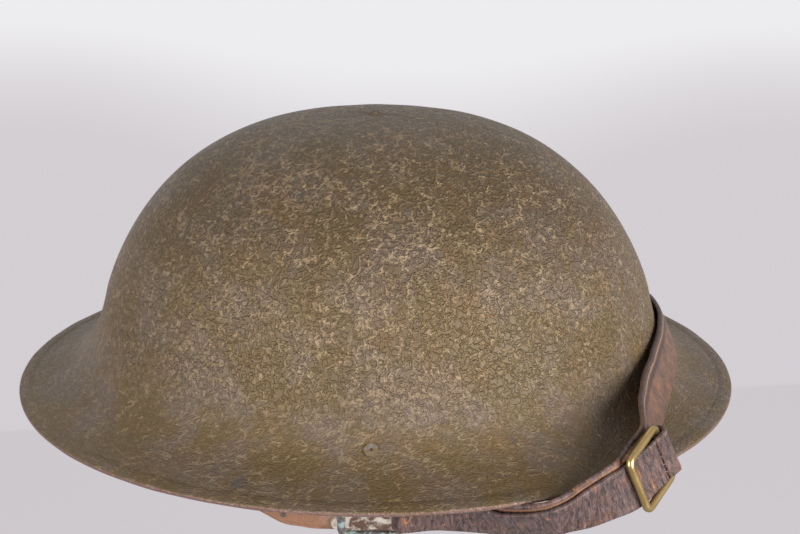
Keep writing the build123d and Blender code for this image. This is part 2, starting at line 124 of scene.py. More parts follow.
class HelmetLinerSizes(bpy.types.PropertyGroup):
    """Driving sizes of the head band, the net, the tubes and the crown pieces."""

    band_half_length: length("Band half length", "Half length of the head band's outer face", 0.0997255)
    band_half_width: length("Band half width", "Half width of the head band's outer face", 0.0807165)
    band_top: length("Band top", "Level of the head band's upper edge", 0.036)
    band_bottom: length("Band bottom", "Level of the head band's lower edge", -0.040)
    band_thickness: length("Band thickness", "Thickness of the head band", 0.0016)
    sweatband_top: length("Inner leather top", "Level of the inner leather's upper edge", 0.016)
    sweatband_bottom: length("Inner leather bottom", "Level of the inner leather's lower edge", -0.042)
    sweatband_thickness: length("Inner leather thickness", "Thickness of the inner leather", 0.0012)
    layer_gap: length("Layer gap", "Room between two layers of the liner", 0.0001)
    top: length("Liner top", "Level of the liner's crown", 0.1106392)
    net_thickness: length("Net thickness", "Room that the net takes under the cross straps", 0.0008)
    net_opening: length("Net opening", "Radius of the hole in the middle of the net", 0.018)
    twine: length("Twine", "Radius of the net's twine", 0.00038)
    cord_ring: length("Draw cord ring", "Radius of the draw cord's ring", 0.034)
    cord_width: length("Draw cord", "Width of the draw cord", 0.002)
    disc_thickness: length("Disc thickness", "Thickness of the leather disc at the crown", 0.002)
    pad_radius: length("Pad radius", "Radius of the felt pad", 0.032)
    pad_hole: length("Pad hole", "Radius of the hole in the felt pad", 0.006)
    pad_thickness: length("Pad thickness", "Thickness of the felt pad", 0.007)
    tube_radius: length("Tube radius", "Outer radius of the rubber tubes", 0.0085)
    tube_bore: length("Tube bore", "Inner radius of the rubber tubes", 0.0055)
    tube_gap: length("Tube gap", "Room between a tube and the head band", 0.0005)
    tube_top: length("Tube top", "Level of the tubes' upper ends", 0.034)
    tube_length: length("Tube length", "Length of the tubes", 0.032)
    tube_count: IntProperty(name="Tubes", description="Rubber tubes round the head band", default=12)
    net_count: IntProperty(name="Net strands", description="Strands of the net each way", default=26)


class HelmetColours(bpy.types.PropertyGroup):
    """Colours of the finishes, as they would be under plain light."""

    paint_dark: colour("Paint", "Olive drab between the crinkles", (0.114, 0.074, 0.030))
    # Deep paint: the darkest brown of the paint's patches and of the steel's stains, also laid on as painted
    # shade in the crinkles' hollows and on the crown and brim
    paint_deep_and_shade: colour("Deep paint", "Darkest brown in the hollows", (0.048, 0.031, 0.013))
    paint_grey: colour("Faded paint", "Purple-grey of the faded patches", (0.126, 0.091, 0.069))
    # Worn tan: the colour of rubbed crinkles, scratches and scuffs, also laid on as painted highlight on the
    # crinkles' ridges and the bowl's side
    paint_wear_and_sheen: colour("Worn crinkles", "Tan of the rubbed crinkles", (0.37, 0.265, 0.150))
    paint_rust: colour("Warm stain", "Orange-brown stain near the crown", (0.150, 0.076, 0.028))
    steel_dark: colour("Chips", "Bare dark steel in the chips", (0.062, 0.056, 0.062))
    rim_metal: colour("Rim metal", "Copper-grey of the worn rim strip", (0.175, 0.105, 0.090))
    verdigris: colour("Verdigris", "Grey-green bloom on old metal", (0.19, 0.25, 0.23))
    strap_dark: colour("Strap grain", "Dark purple-brown of the outer grain", (0.064, 0.040, 0.037))
    strap_red: colour("Strap face", "Red-brown of the strap over the brim", (0.100, 0.053, 0.035))
    strap_crack: colour("Strap cracks", "Orange of the cracked leather", (0.36, 0.15, 0.06))
    # Pale edge: rubbed leather, also laid on as painted highlight where the upper edge catches the light
    strap_edge: colour("Strap edge", "Rubbed pale edge of the strap", (0.26, 0.175, 0.135))
    leather_warm: colour("Band leather", "Orange-brown of the head band", (0.25, 0.118, 0.064))
    leather_pale: colour("Band bloom", "Whitish bloom on the leather", (0.42, 0.37, 0.32))
    leather_grey: colour("Band grey", "Grey-green of the dirty leather", (0.20, 0.18, 0.15))
    brass: colour("Brass", "Old brass of the buckle", (0.34, 0.235, 0.095))
    twine: colour("Twine", "Cotton of the net and its cord", (0.48, 0.40, 0.28))
    thread: colour("Thread", "Waxed thread of the strap's stitches", (0.12, 0.060, 0.038))
    felt: colour("Felt", "Grey-brown of the crown pad", (0.23, 0.19, 0.15))
    rubber: colour("Rubber", "Old rubber of the tubes", (0.075, 0.05, 0.04))
    steel_plain: colour("Plain steel", "Dull steel of the small fittings", (0.16, 0.155, 0.16))
    floor: colour("Floor", "Pale table", (0.60, 0.59, 0.62))
    backdrop: colour("Backdrop", "Pale wall far behind the table", (0.85, 0.84, 0.86))
    # Darker tone of the wall, painted where less light falls on it: nearer to the table and to the sides
    backdrop_side: colour("Backdrop side", "The same wall nearer to the table", (0.655, 0.620, 0.650))


# Shader maths

SEEING_RAYS = ("Camera", "Glossy", "Transmission")


class Value:
    """One output of a finish's nodes. Arithmetic on it adds Math nodes."""

    def __init__(self, finish, socket):
        self.finish = finish
        self.socket = socket

    def __add__(self, other):
        return self.finish.math("ADD", self, other)

    def __radd__(self, other):
        return self.finish.math("ADD", other, self)

    def __sub__(self, other):
        return self.finish.math("SUBTRACT", self, other)

    def __rsub__(self, other):
        return self.finish.math("SUBTRACT", other, self)

    def __mul__(self, other):
        return self.finish.math("MULTIPLY", self, other)

    def __rmul__(self, other):
        return self.finish.math("MULTIPLY", other, self)

    def __abs__(self):
        return self.finish.math("ABSOLUTE", self)


class Graph:
    """The nodes of a material or of the world, in the making."""

    def __init__(self, owner):
        owner.use_nodes = True
        self.tree = owner.node_tree
        self.tree.nodes.clear()

    def node(self, kind, settings=None, inputs=None, output=0):
        """Adds a node: its settings first, then the value or the link of each socket."""
        made = self.tree.nodes.new(kind)
        for key, value in (settings or {}).items():
            setattr(made, key, value)
        for key, value in (inputs or {}).items():
            if isinstance(value, Value):
                self.tree.links.new(value.socket, made.inputs[key])
            else:
                made.inputs[key].default_value = value
        return Value(self, made.outputs[output]) if len(made.outputs) else None

    def math(self, operation, first, second=0.0):
        return self.node("ShaderNodeMath", {"operation": operation}, {0: first, 1: second})

    def seen(self):
        """1 for what the camera, a mirror or glass sees, 0 for the light that falls on other things."""
        rays = [self.node("ShaderNodeLightPath", output=f"Is {ray} Ray") for ray in SEEING_RAYS]
        camera, glossy, through = rays
        return self.math("MAXIMUM", self.math("MAXIMUM", camera, glossy), through)


class Finish(Graph):
    """A material in the making, with the few ways in which this object's finishes use their nodes."""

    def __init__(self, name):
        self.material = bpy.data.materials.new(name)
        super().__init__(self.material)
        self.place = self.node("ShaderNodeTexCoord", output="Object")

    def surface_map(self):
        return self.node("ShaderNodeUVMap", {"uv_map": "Surface"})

    def part(self, vector, axis):
        """One coordinate of a place: 0, 1 or 2."""
        return self.node("ShaderNodeSeparateXYZ", inputs={"Vector": vector}, output=axis)

    def stretched(self, vector, stretch):
        return self.node("ShaderNodeMapping", inputs={"Vector": vector, "Scale": stretch})

    def noise(self, vector, size, detail=2.0, distortion=0.0, roughness=0.5):
        inputs = {"Vector": vector, "Scale": 1 / size, "Detail": detail}
        inputs.update({"Distortion": distortion, "Roughness": roughness})
        return self.node("ShaderNodeTexNoise", {"noise_dimensions": "3D"}, inputs)

    def step(self, value, low, high):
        """0 below low, 1 above high, and smooth between them."""
        inputs = {"Value": value, "From Min": low, "From Max": high}
        return self.node("ShaderNodeMapRange", {"interpolation_type": "SMOOTHSTEP"}, inputs)

    def patches(self, size, detail, distortion, low, high):
        """Soft patches of the object's own space, where a noise is high."""
        return self.step(self.noise(self.place, size, detail, distortion), low, high)

    def lines(self, vector, size, width, detail, distortion):
        """Thin winding lines, where a noise passes its middle value."""
        return 1 - self.step(abs(self.noise(vector, size, detail, distortion) - 0.5), width / 3, width)

    def cracks(self, vector, size, width, wander):
        """Short straight lines: the edges of uneven cells of a size, shifted a little by noise."""
        inputs = {"Vector": vector, "Scale": 2 / size, "Detail": 1.0}
        shift = self.node("ShaderNodeTexNoise", {"noise_dimensions": "3D"}, inputs, output="Color")
        parts = {0: shift, 1: (wander,) * 3, 2: vector}
        moved = self.node("ShaderNodeVectorMath", {"operation": "MULTIPLY_ADD"}, parts)
        settings = {"voronoi_dimensions": "3D", "feature": "DISTANCE_TO_EDGE"}
        cells = {"Vector": moved, "Scale": 1 / size}
        edge = self.node("ShaderNodeTexVoronoi", settings, cells, output="Distance")
        return 1 - self.step(edge, width / size * 0.4, width / size)

    def spot(self, centre, radius, softness, ragged):
        """1 inside a ragged ball about a place of the object, 0 outside it."""
        ends = {0: self.place, 1: centre}
        away = self.node("ShaderNodeVectorMath", {"operation": "DISTANCE"}, ends, output="Value")
        return 1 - self.step(away + (ragged - 0.5) * radius, radius * (1 - softness), radius)

    def mix(self, factor, first, second):
        """Colour between two colours, which may be given as plain colours or as values."""
        first, second = (c if isinstance(c, Value) else (*c, 1.0) for c in (first, second))
        inputs = {"Factor": factor, 6: first, 7: second}
        return self.node("ShaderNodeMix", {"data_type": "RGBA"}, inputs, output=2)

    def layered(self, base, *layers):
        """Colours laid one after another over a base, each with the share that it covers."""
        for factor, tone in layers:
            base = self.mix(factor, base, tone)
        return base

    def bump(self, height, distance):
        return self.node("ShaderNodeBump", inputs={"Height": height, "Distance": distance})

    def done(self, base, roughness, metallic, normal, gloss=0.5):
        """Closes the finish with its shader, and gives the material."""
        inputs = {"Base Color": base, "Roughness": roughness, "Metallic": metallic, "Normal": normal}
        shader = self.node("ShaderNodeBsdfPrincipled", inputs={**inputs, "Specular IOR Level": gloss})
        self.node("ShaderNodeOutputMaterial", inputs={"Surface": shader})
        return self.material


# Finishes

def shaded(tone, share_kept):
    """The colour made darker, or lighter where the share is over 1."""
    return [value * share_kept for value in tone]


# Dark chips in the paint and pale scuffs: place on the outer face, and size
CHIPS = [
    ((0.024, -0.072, 0.0955), 0.0065),
    ((0.030, -0.070, 0.0965), 0.0040),
    ((-0.1075, -0.062, 0.0250), 0.0055),
    ((-0.0490, -0.1262, 0.0063), 0.0060),
    ((-0.0560, -0.1330, 0.0040), 0.0035),
]
SCUFFS = [
    ((0.066, -0.068, 0.0865), 0.0085),
    ((-0.028, -0.1035, 0.0480), 0.0080),
]


def paint_finish(colours, name, bare_edge=False):
    """Sand-textured paint: fine crinkles over olive drab, rubbed to tan in short lines and scratched, with
    painted shade in the crinkles' hollows and on the crown and brim, and painted highlight on the crinkles'
    ridges and the bowl's side.
    """
    finish = Finish(name)
    place = finish.place
    height = finish.part(place, 2)
    bowl = finish.step(height, 0.010, 0.034)
    crown = finish.step(height, 0.050, 0.100)
    patches = finish.noise(place, 0.027, 3.0, 0.4, 0.6)
    small_patches = finish.noise(place, 0.0080, 3.0, 0.5, 0.6)
    grain = finish.noise(place, 0.0010, 2.0, 0.3)
    wrinkles = 1 - finish.step(abs(finish.noise(place, 0.0023, 0.6, 0.9) - 0.5), 0.0, 0.13)
    base = finish.mix(finish.step(patches, 0.40, 0.62), colours.paint_dark, colours.paint_grey)
    stained = finish.step(finish.noise(place, 0.017, 3.0, 0.5, 0.6), 0.48, 0.62)
    base = finish.layered(
        base,
        (stained * (0.22 + crown * 0.45), colours.paint_rust),
        (finish.step(small_patches, 0.46, 0.66) * (0.20 + crown * 0.45), colours.paint_deep_and_shade),
        # Painted shade: the hollows between the crinkles darkened with deep paint, where shade would fall in
        # them
        ((1 - wrinkles) * (0.16 + bowl * 0.26), colours.paint_deep_and_shade),
        # Painted shade: the upward-facing crown and brim darkened with deep paint, as less light falls on
        # them
        (crown * 0.46 + (1 - bowl) * 0.22, colours.paint_deep_and_shade),
        # Partly rubbed wear, partly painted highlight: the crinkles' ridges lightened with tan
        (wrinkles * grain * (0.08 + bowl * 0.10), colours.paint_wear_and_sheen),
        # Painted sheen: the bowl's side below the crown lightened with tan, where the lamps' sheen falls
        (bowl * (1 - crown) * (1 - crown) * 0.06, colours.paint_wear_and_sheen),
    )
    broken = finish.noise(place, 0.0042, 1.0, 0.4)
    quiet = finish.step(finish.part(place, 0), 0.020, 0.090)
    often = finish.step(small_patches * 0.4 + patches * 0.6, 0.40, 0.62) * 0.13 + crown * 0.03 - quiet * 0.06
    torn = finish.cracks(place, 0.0042, 0.00042, 0.0022) * finish.step(broken + often, 0.59, 0.65)
    fine = finish.cracks(place, 0.0024, 0.00030, 0.0016) * finish.step(small_patches + often, 0.58, 0.68)
    along = finish.stretched(finish.surface_map(), (1.0, 2.6, 1.0))
    scratches = finish.cracks(along, 0.0065, 0.00060, 0.0050) * finish.step(broken + often, 0.54, 0.64)
    worn = finish.math("MAXIMUM", torn * 0.95, fine * 0.45) * (0.12 + bowl * 0.88)
    worn = finish.math("MAXIMUM", worn, scratches * (1 - bowl) * 0.70)
    base = finish.mix(worn * (0.20 + grain * 0.50), base, colours.paint_wear_and_sheen)
    ragged = finish.noise(place, 0.004, 3.0)
    chipped = finish.patches(0.0075, 4.0, 0.5, 0.70, 0.76) * 0.8
    for centre, radius in CHIPS:
        chipped = finish.math("MAXIMUM", chipped, finish.spot(centre, radius, 0.35, ragged))
    base = finish.mix(chipped * 0.8, base, colours.steel_dark)
    for centre, radius in SCUFFS:
        base = finish.mix(finish.spot(centre, radius, 0.7, ragged) * 0.4, base, colours.paint_wear_and_sheen)
    bumps = wrinkles * (0.25 + bowl * 0.75) + grain * 0.35 + worn * 0.25 - chipped * 0.6
    normal = finish.bump(bumps, 0.00070)
    rough = 0.43 + grain * 0.16 - wrinkles * 0.10
    metallic = 0.0
    if bare_edge:
        fold = finish.part(finish.surface_map(), 1)
        bare = 1 - finish.step(abs(fold) + (ragged - 0.5) * 0.0008, 0.0004, 0.0009)
        base = finish.mix(bare * 0.85, base, colours.rim_metal)
        metallic = bare * 0.4
    return finish.done(base, rough, metallic, normal, gloss=0.26)


def steel_finish(colours, name, bloom):
    """Dull steel with brown stains and, where bloom is high, a grey-green crust."""
    finish = Finish(name)
    place = finish.place
    stain = finish.patches(0.004, 4.0, 0.3, 0.36, 0.58)
    crust = finish.patches(0.0028, 3.0, 0.6, 0.62 - bloom * 0.20, 0.72 - bloom * 0.15)
    base = finish.mix(stain * 0.75, colours.steel_plain, colours.paint_deep_and_shade)
    base = finish.mix(crust, base, colours.verdigris)
    normal = finish.bump(finish.noise(place, 0.0009, 3.0, 0.4), 0.00018)
    return finish.done(base, 0.50 + crust * 0.35, 0.7 - crust * 0.7 - stain * 0.35, normal)


def rivet_finish(colours, name):
    """Hollow rivet with remains of paint and a lilac-grey bloom."""
    finish = Finish(name)
    place = finish.place
    bloom = finish.patches(0.0016, 3.0, 0.4, 0.46, 0.66) * 0.8
    base = finish.mix(bloom, colours.paint_dark, colours.steel_plain)
    normal = finish.bump(finish.noise(place, 0.0008, 2.0, 0.3), 0.00012)
    return finish.done(base, 0.55, bloom * 0.4, normal)


# Way round the strap's section from its upper edge to its lower one, as its map counts it
STRAP_TURN = 0.0202


def strap_finish(colours, name):
    """Old strap leather: dark grain, thin orange cracks across it, a pale upper edge that is partly rubbed
    and partly painted highlight, redder over the brim.
    """
    finish = Finish(name)
    place, sheet = finish.place, finish.surface_map()
    round_it = finish.part(sheet, 1)
    from_upper = STRAP_TURN - abs(round_it - STRAP_TURN)
    over_brim = finish.step(finish.part(place, 1), -0.114, -0.104)
    across = finish.stretched(sheet, (1.0, 0.26, 1.0))
    streaks = finish.step(finish.noise(across, 0.0013, 3.0, 1.0, 0.65), 0.30, 0.72)
    cracks = finish.lines(across, 0.0050, 0.016, 2.0, 0.8)
    creases = finish.lines(across, 0.0090, 0.012, 2.0, 0.8)
    patches = finish.patches(0.011, 2.0, 0.3, 0.50, 0.66)
    low = finish.step(from_upper, 0.006, 0.016)
    grain = finish.noise(place, 0.0013, 3.0, 0.3)
    dark = finish.mix(streaks, shaded(colours.strap_dark, 0.30), shaded(colours.strap_dark, 2.1))
    red = finish.mix(streaks, shaded(colours.strap_red, 0.60), shaded(colours.strap_red, 1.45))
    tawny = finish.step(finish.noise(place, 0.0055, 3.0, 0.8, 0.6), 0.50, 0.64)
    blotch = finish.patches(0.009, 3.0, 0.5, 0.48, 0.66)
    upper_band = 1 - finish.step(from_upper, 0.0022, 0.0040)
    # Pale line along the upper edge: partly rubbed leather, partly painted highlight where the edge catches
    # the light
    rubbed = 1 - finish.step(from_upper + (grain - 0.5) * 0.0006, 0.0001, 0.0007)
    hidden = finish.step(abs(round_it - STRAP_TURN), STRAP_TURN - 0.0012, STRAP_TURN - 0.0006)
    base = finish.layered(
        finish.mix(over_brim, dark, red),
        (tawny * (0.18 + over_brim * 0.40), shaded(colours.strap_crack, 0.55)),
        (blotch * 0.35, shaded(colours.strap_dark, 0.6)),
        (creases * (0.12 + patches * 0.75) * (0.25 + low * 0.75), colours.strap_crack),
        (cracks * patches * 0.7, colours.strap_crack),
        (upper_band * over_brim * 0.8, shaded(colours.strap_dark, 0.35)),
        # Rubbed wear and painted highlight along the upper edge
        (rubbed * 0.7, colours.strap_edge),
        (hidden * 0.3, colours.strap_crack),
    )
    bumps = grain * 0.3 + streaks * 0.5 - creases * 0.7 - cracks * 0.6
    normal = finish.bump(bumps, 0.00030)
    rough = 0.42 + grain * 0.15
    return finish.done(base, rough, 0.0, normal, gloss=0.36)


def brass_finish(colours, name):
    """Brass with dull patches."""
    finish = Finish(name)
    place = finish.place
    dull = finish.patches(0.006, 3.0, 0.4, 0.40, 0.66)
    base = finish.mix(dull * 0.6, colours.brass, shaded(colours.brass, 0.45))
    normal = finish.bump(finish.noise(place, 0.0012, 2.0, 0.3), 0.00006)
    return finish.done(base, 0.30 + dull * 0.18, 0.92 - dull * 0.25, normal)


def band_finish(colours, name):
    """Head band leather: on the near side orange-brown, then bloomed, then grey-green from back to front."""
    finish = Finish(name)
    place = finish.place
    run = finish.part(place, 0)
    ragged = (finish.noise(place, 0.007, 3.0, 0.4) - 0.5) * 0.016
    near_side = 1 - finish.step(finish.part(place, 1) + ragged * 2, -0.062, -0.030)
    bloom = finish.step(run + ragged, -0.021, -0.012) * near_side
    grey = finish.step(run + ragged, 0.024, 0.034) * near_side
    mottle = finish.patches(0.0048, 4.0, 0.6, 0.40, 0.60)
    grain = finish.noise(place, 0.0014, 3.0, 0.2)
    warm = finish.mix(grain, shaded(colours.leather_warm, 0.6), shaded(colours.leather_warm, 1.2))
    pale = finish.mix(mottle, shaded(colours.leather_warm, 0.3), colours.leather_pale)
    base = finish.mix(bloom, warm, pale)
    base = finish.mix(grey, base, finish.mix(mottle * 0.5, colours.leather_grey, colours.leather_pale))
    stained = finish.step(finish.noise(place, 0.010, 2.0), 0.55, 0.70)
    base = finish.mix(stained * 0.5, base, shaded(colours.leather_warm, 0.3))
    normal = finish.bump(grain * 0.4 + mottle * 0.6, 0.0003)
    return finish.done(base, 0.55 + grain * 0.2, 0.0, normal)


def cloth_finish(colours, name, key, size, relief):
    """Matt fibres: a fine speckle of light and dark at one size."""
    finish = Finish(name)
    fibre = finish.noise(finish.place, size, 3.0, 1.2)
    base = finish.mix(fibre, shaded(getattr(colours, key), 0.55), shaded(getattr(colours, key), 1.35))
    return finish.done(base, 0.9, 0.0, finish.bump(fibre, relief), gloss=0.2)


def rubber_finish(colours, name):
    """Rubber with a pale bloom in patches."""
    finish = Finish(name)
    bloom = finish.patches(0.006, 4.0, 0.4, 0.45, 0.65)
    base = finish.mix(bloom * 0.5, colours.rubber, shaded(colours.rubber, 2.4))
    return finish.done(base, 0.7, 0.0, finish.bump(bloom, 0.0002))


# Each finish by a short name: its function, the name of its material and what else the function takes
LOOKS = {
    "paint": (paint_finish, "Crinkled olive paint"),
    "rim": (paint_finish, "Worn rim strip", True),
    "steel": (steel_finish, "Dull steel", 0.0),
    "rivet": (rivet_finish, "Lilac-grey rivet"),
    "wire": (steel_finish, "Crusted steel wire", 0.55),
    "strap": (strap_finish, "Cracked strap leather"),
    "brass": (brass_finish, "Old brass wire"),
    "band": (band_finish, "Head band leather"),
    "twine": (cloth_finish, "Cotton twine", "twine", 0.0008, 0.0002),
    "thread": (cloth_finish, "Waxed thread", "thread", 0.0005, 0.0001),
    "felt": (cloth_finish, "Felt", "felt", 0.0011, 0.0004),
    "rubber": (rubber_finish, "Old rubber"),
}


def finish_of(context, look):
    """The material of a finish, made the first time it is asked for."""
    make, name, *settings = LOOKS[look]
    return bpy.data.materials.get(name) or make(context.scene.helmet_colours, name, *settings)


# Surfaces from grids

SHARP_ANGLE = math.radians(40)
# Points nearer to each other than this are one
SAME_POINT = MILLIMETRE / 100


def grid_mesh(name, points, surface, closed_rows=False, closed_columns=True):
    """Mesh over a grid of points, (rows, columns, 3), and its map, with one more line where a side closes."""
    rows, columns = points.shape[:2]
    row = np.arange(rows if closed_rows else rows - 1)[:, None]
    column = np.arange(columns if closed_columns else columns - 1)[None, :]
    corners = [(row, column), (row, column + 1), (row + 1, column + 1), (row + 1, column)]
    quads = np.stack([(r % rows) * columns + c % columns for r, c in corners], axis=-1).reshape(-1, 4)
    mesh = bpy.data.meshes.new(name)
    mesh.from_pydata(points.reshape(-1, 3), [], quads)
    spread = np.stack([surface[r, c] for r, c in corners], axis=-2).reshape(-1)
    mesh.uv_layers.new(name="Surface").data.foreach_set("uv", spread.astype(np.float32))
    return mesh


def linked(name, data):
    """Object in the scene from its data."""
    made = bpy.data.objects.new(name, data)
    bpy.context.scene.collection.objects.link(made)
    return made


def finished(name, mesh, material):
    """Object from a mesh: doubles merged, faces turned outwards, smooth but for its sharp edges."""
    work = bmesh.new()
    work.from_mesh(mesh)
    bmesh.ops.remove_doubles(work, verts=work.verts, dist=SAME_POINT)
    bmesh.ops.dissolve_degenerate(work, edges=work.edges, dist=SAME_POINT)
    bmesh.ops.recalc_face_normals(work, faces=work.faces)
    work.to_mesh(mesh)
    work.free()
    mesh.shade_smooth()
    mesh.set_sharp_from_angle(angle=SHARP_ANGLE)
    mesh.materials.append(material)
    return linked(name, mesh)


def joined(name, pieces, material):
    """One object from several meshes."""
    work = bmesh.new()
    for piece in pieces:
        work.from_mesh(piece)
        bpy.data.meshes.remove(piece)
    mesh = bpy.data.meshes.new(name)
    work.to_mesh(mesh)
    work.free()
    return finished(name, mesh, material)


def carried(points, across, outward, outline):
    """Outline, (n, 2), carried along a path: each ring is a point plus the outline across and outward."""
    rings = points[:, None] + outline[None, :, :1] * across[:, None]
    return rings + outline[None, :, 1:] * outward[:, None]


def capped(rings):
    """The same rings with each end drawn to its middle, which closes the piece."""
    middles = (ring.mean(axis=1, keepdims=True) for ring in (rings[:1], rings[-1:]))
    first, last = (np.repeat(middle, rings.shape[1], axis=1) for middle in middles)
    return np.concatenate([first, rings, last])


def lengths_along(points):
    """Length of the path up to each of its points."""
    return np.concatenate([[0], np.cumsum(np.linalg.norm(np.diff(points, axis=0), axis=1))])


def evenly(rows, along, count):
    """Rows at even lengths of a path, and those lengths."""
    even = np.linspace(0, along[-1], count)
    return np.stack([np.interp(even, along, column) for column in rows.T], axis=1), even


def map_of(rings, closed_rows):
    """Map in metres: along the path and round the outline, with one more line where a side closes."""
    path = rings.mean(axis=1)
    if closed_rows:
        path = np.concatenate([path, path[:1]])
    ring = rings[len(rings) // 2]
    around = lengths_along(np.concatenate([ring, ring[:1]]))
    return np.stack(np.meshgrid(lengths_along(path), around, indexing="ij"), axis=-1)


def ring_mesh(name, rings, closed_rows=False):
    """Mesh through rings of points, with its map in metres."""
    return grid_mesh(name, rings, map_of(rings, closed_rows), closed_rows)


def even_angles(count):
    """Angles at even steps of a full turn, without the last one, which is the first again."""
    return np.linspace(0, 2 * math.pi, count, endpoint=False)


def waves_round(waves, bearings):
    """Sum of waves round a piece, each with its depth, its count over a turn and its start."""
    return sum(depth * np.sin(turns * bearings + start) for depth, turns, start in waves)


def places(x, y, z):
    """Places from their three parts, which may be of unlike shapes."""
    return np.stack(np.broadcast_arrays(x, y, z), axis=-1)


def circle(radius, count):
    """Points of a circle: radius times cosine and sine of even angles."""
    angle = even_angles(count)
    return radius * np.stack([np.cos(angle), np.sin(angle)], axis=1)


def smooth_rows(rows, steps):
    """Rows joined by Catmull-Rom curves: cubics whose ends lean along their neighbours' chord."""
    before = np.concatenate([2 * rows[:1] - rows[1:2], rows[:-2]])
    first, second = rows[:-1], rows[1:]
    after = np.concatenate([rows[2:], 2 * rows[-1:] - rows[-2:-1]])
    t = np.linspace(0, 1, steps, endpoint=False)[None, :, None]
    b, f, s, a = (x[:, None, :] for x in (before, first, second, after))
    curve = 2 * f + (s - b) * t + (2 * b - 5 * f + 4 * s - a) * t ** 2 + (3 * f - b - 3 * s + a) * t ** 3
    return np.concatenate([(curve / 2).reshape(-1, rows.shape[1]), rows[-1:]])


def unit(vectors):
    """Vectors of length 1: each divided by its own length."""
    return vectors / np.linalg.norm(vectors, axis=-1, keepdims=True)


# Shell

BRIM_STEPS = 900
DOME_STEPS = 1500
SHELL_ROWS = 150
SHELL_COLUMNS = 320
# The inner face takes each third row of the outer one
INNER_STEP = 3
RIM_COLUMNS = 360
FOLD_POINTS = 11
# Level above which the pressing is uneven: below it the rim strip lies close to the steel
WAVES_FROM = 0.012
# Unevenness of the pressing: its depth, then each wave's share of it, count round the bowl, height in
# millimetres in which it shifts by a radian, and start
SHELL_WAVE = 0.00009
SHELL_WAVES = [(1.0, 3, 17, 0.0), (0.7, 7, -11, 1.0), (0.5, 13, 7, 2.0)]
# Ripple of the rim strip: each wave's depth, count round the rim and start
RIM_RIPPLES = [(0.00006, 23, 0.0), (0.00005, 41, 1.0)]
# Rim strip's face from its fold to its edge, hammered thin: shares of the leg and of the cover
LEG_SHARES = [(0.25, 1.0), (0.5, 0.98), (0.65, 0.8), (0.8, 0.45), (0.92, 0.14)]
# Share of the cover by which the strip's edges are let into the steel
LET_IN_SHARE = 0.1


def brim_rows(sizes, reach):
    """Brim from bowl (0) to rim (1): half sizes grow evenly, height falls by a straight part and a power."""
    foot_length, foot_width = foot_sizes(sizes)
    run_fore, run_aside = brim_runs(sizes)
    inward = 1 - reach
    half_length = foot_length + run_fore * reach
    half_width = foot_width + run_aside * reach
    height = sizes.brim_rise * inward + (sizes.flare_top - sizes.brim_rise) * inward ** sizes.flare_power
    return np.stack([half_length, half_width, height, sizes.forward_shift * inward], axis=-1)


def brim_runs(sizes):
    """Level way from the bowl to the steel's edge, fore and aft and sideways."""
    foot_length, foot_width = foot_sizes(sizes)
    return sizes.rim_half_length - sizes.cover - foot_length, sizes.rim_half_width - sizes.cover - foot_width


def brim_slope(sizes, reach, run):
    """Rise of the brim towards the bowl for each step inwards, over a run from bowl to rim."""
    inward = (1 - reach).clip(0)
    flare = (sizes.flare_top - sizes.brim_rise) * inward ** (sizes.flare_power - 1)
    return (sizes.brim_rise + sizes.flare_power * flare) / run


def superellipse_rise(sizes, spread):
    """Share of the height at which the half sizes are a given share of the largest ones."""
    return (1 - spread ** sizes.side_power) ** (1 / sizes.height_power)


def foot_sizes(sizes):
    """Half length and half width of the bowl at the top of the flare."""
    rise = (sizes.flare_top - sizes.foot_height) / (sizes.height - sizes.foot_height)
    spread = (1 - rise ** sizes.height_power) ** (1 / sizes.side_power)
    return sizes.bowl_half_length * spread, sizes.bowl_half_width * spread


def dome_rows(sizes, spread):
    """Bowl: its height rises as a superellipse of the share that its half sizes are of the largest ones."""
    height = sizes.foot_height + (sizes.height - sizes.foot_height) * superellipse_rise(sizes, spread)
    shift = np.full_like(spread, sizes.forward_shift)
    return np.stack([sizes.bowl_half_length * spread, sizes.bowl_half_width * spread, height, shift], axis=-1)


def shell_rows(sizes):
    """Rows of the shell's profile from rim to crown at even steps, each with the two parts of its normal."""
    foot_spread = foot_sizes(sizes)[0] / sizes.bowl_half_length
    brim = brim_rows(sizes, np.linspace(1, 0, BRIM_STEPS))
    turn = np.linspace(0, math.pi / 2, DOME_STEPS)[1:]
    rows = np.concatenate([brim, dome_rows(sizes, foot_spread * np.cos(turn).clip(0))])
    middle = (rows[:, 0] + rows[:, 1]) / 2
    along = lengths_along(np.stack([middle, rows[:, 2]], axis=1))
    slope = np.stack([np.gradient(rows[:, 2], along), -np.gradient(middle, along)], axis=-1)
    rows, even = evenly(np.concatenate([rows, unit(slope)], axis=-1), along, SHELL_ROWS)
    rows[-1, 4:] = (0, 1)
    return rows, even


def face_points(rows, lift, bearings):
    """Points of a face lifted off the profile: each row is an oval grown and raised along its normal."""
    half_length, half_width, height, shift, level, upright = (rows[:, k, None] for k in range(6))
    x = shift + (half_length + lift * level) * np.cos(bearings)
    y = (half_width + lift * level) * np.sin(bearings)
    return places(x, y, height + lift * upright)


def unevenness(rows, bearings):
    """Slight waves of a hand-finished pressing, as a sum of three slow sines over bearing and height."""
    height = rows[:, 2, None] / MILLIMETRE
    waves = sum(
        size * np.sin(turns * bearings + height / climb + start)
        for size, turns, climb, start in SHELL_WAVES
    )
    fade = (rows[:, 2, None] / WAVES_FROM).clip(0, 1)
    return SHELL_WAVE * waves * fade


def oval_bearings(count):
    """Even bearings that start and end on the far side, away from the front and from the near side."""
    return even_angles(count)[None, :] + math.pi / 2


def wall_map(bearings, along, sizes):
    """Map in metres of a wall round the oval: bearing times the mean radius, and length along the profile."""
    columns = np.append(bearings[0], bearings[0, 0] + 2 * math.pi) * sizes.rim_half_width
    return np.stack(np.meshgrid(along, columns, indexing="ij"), axis=-1)[..., ::-1]


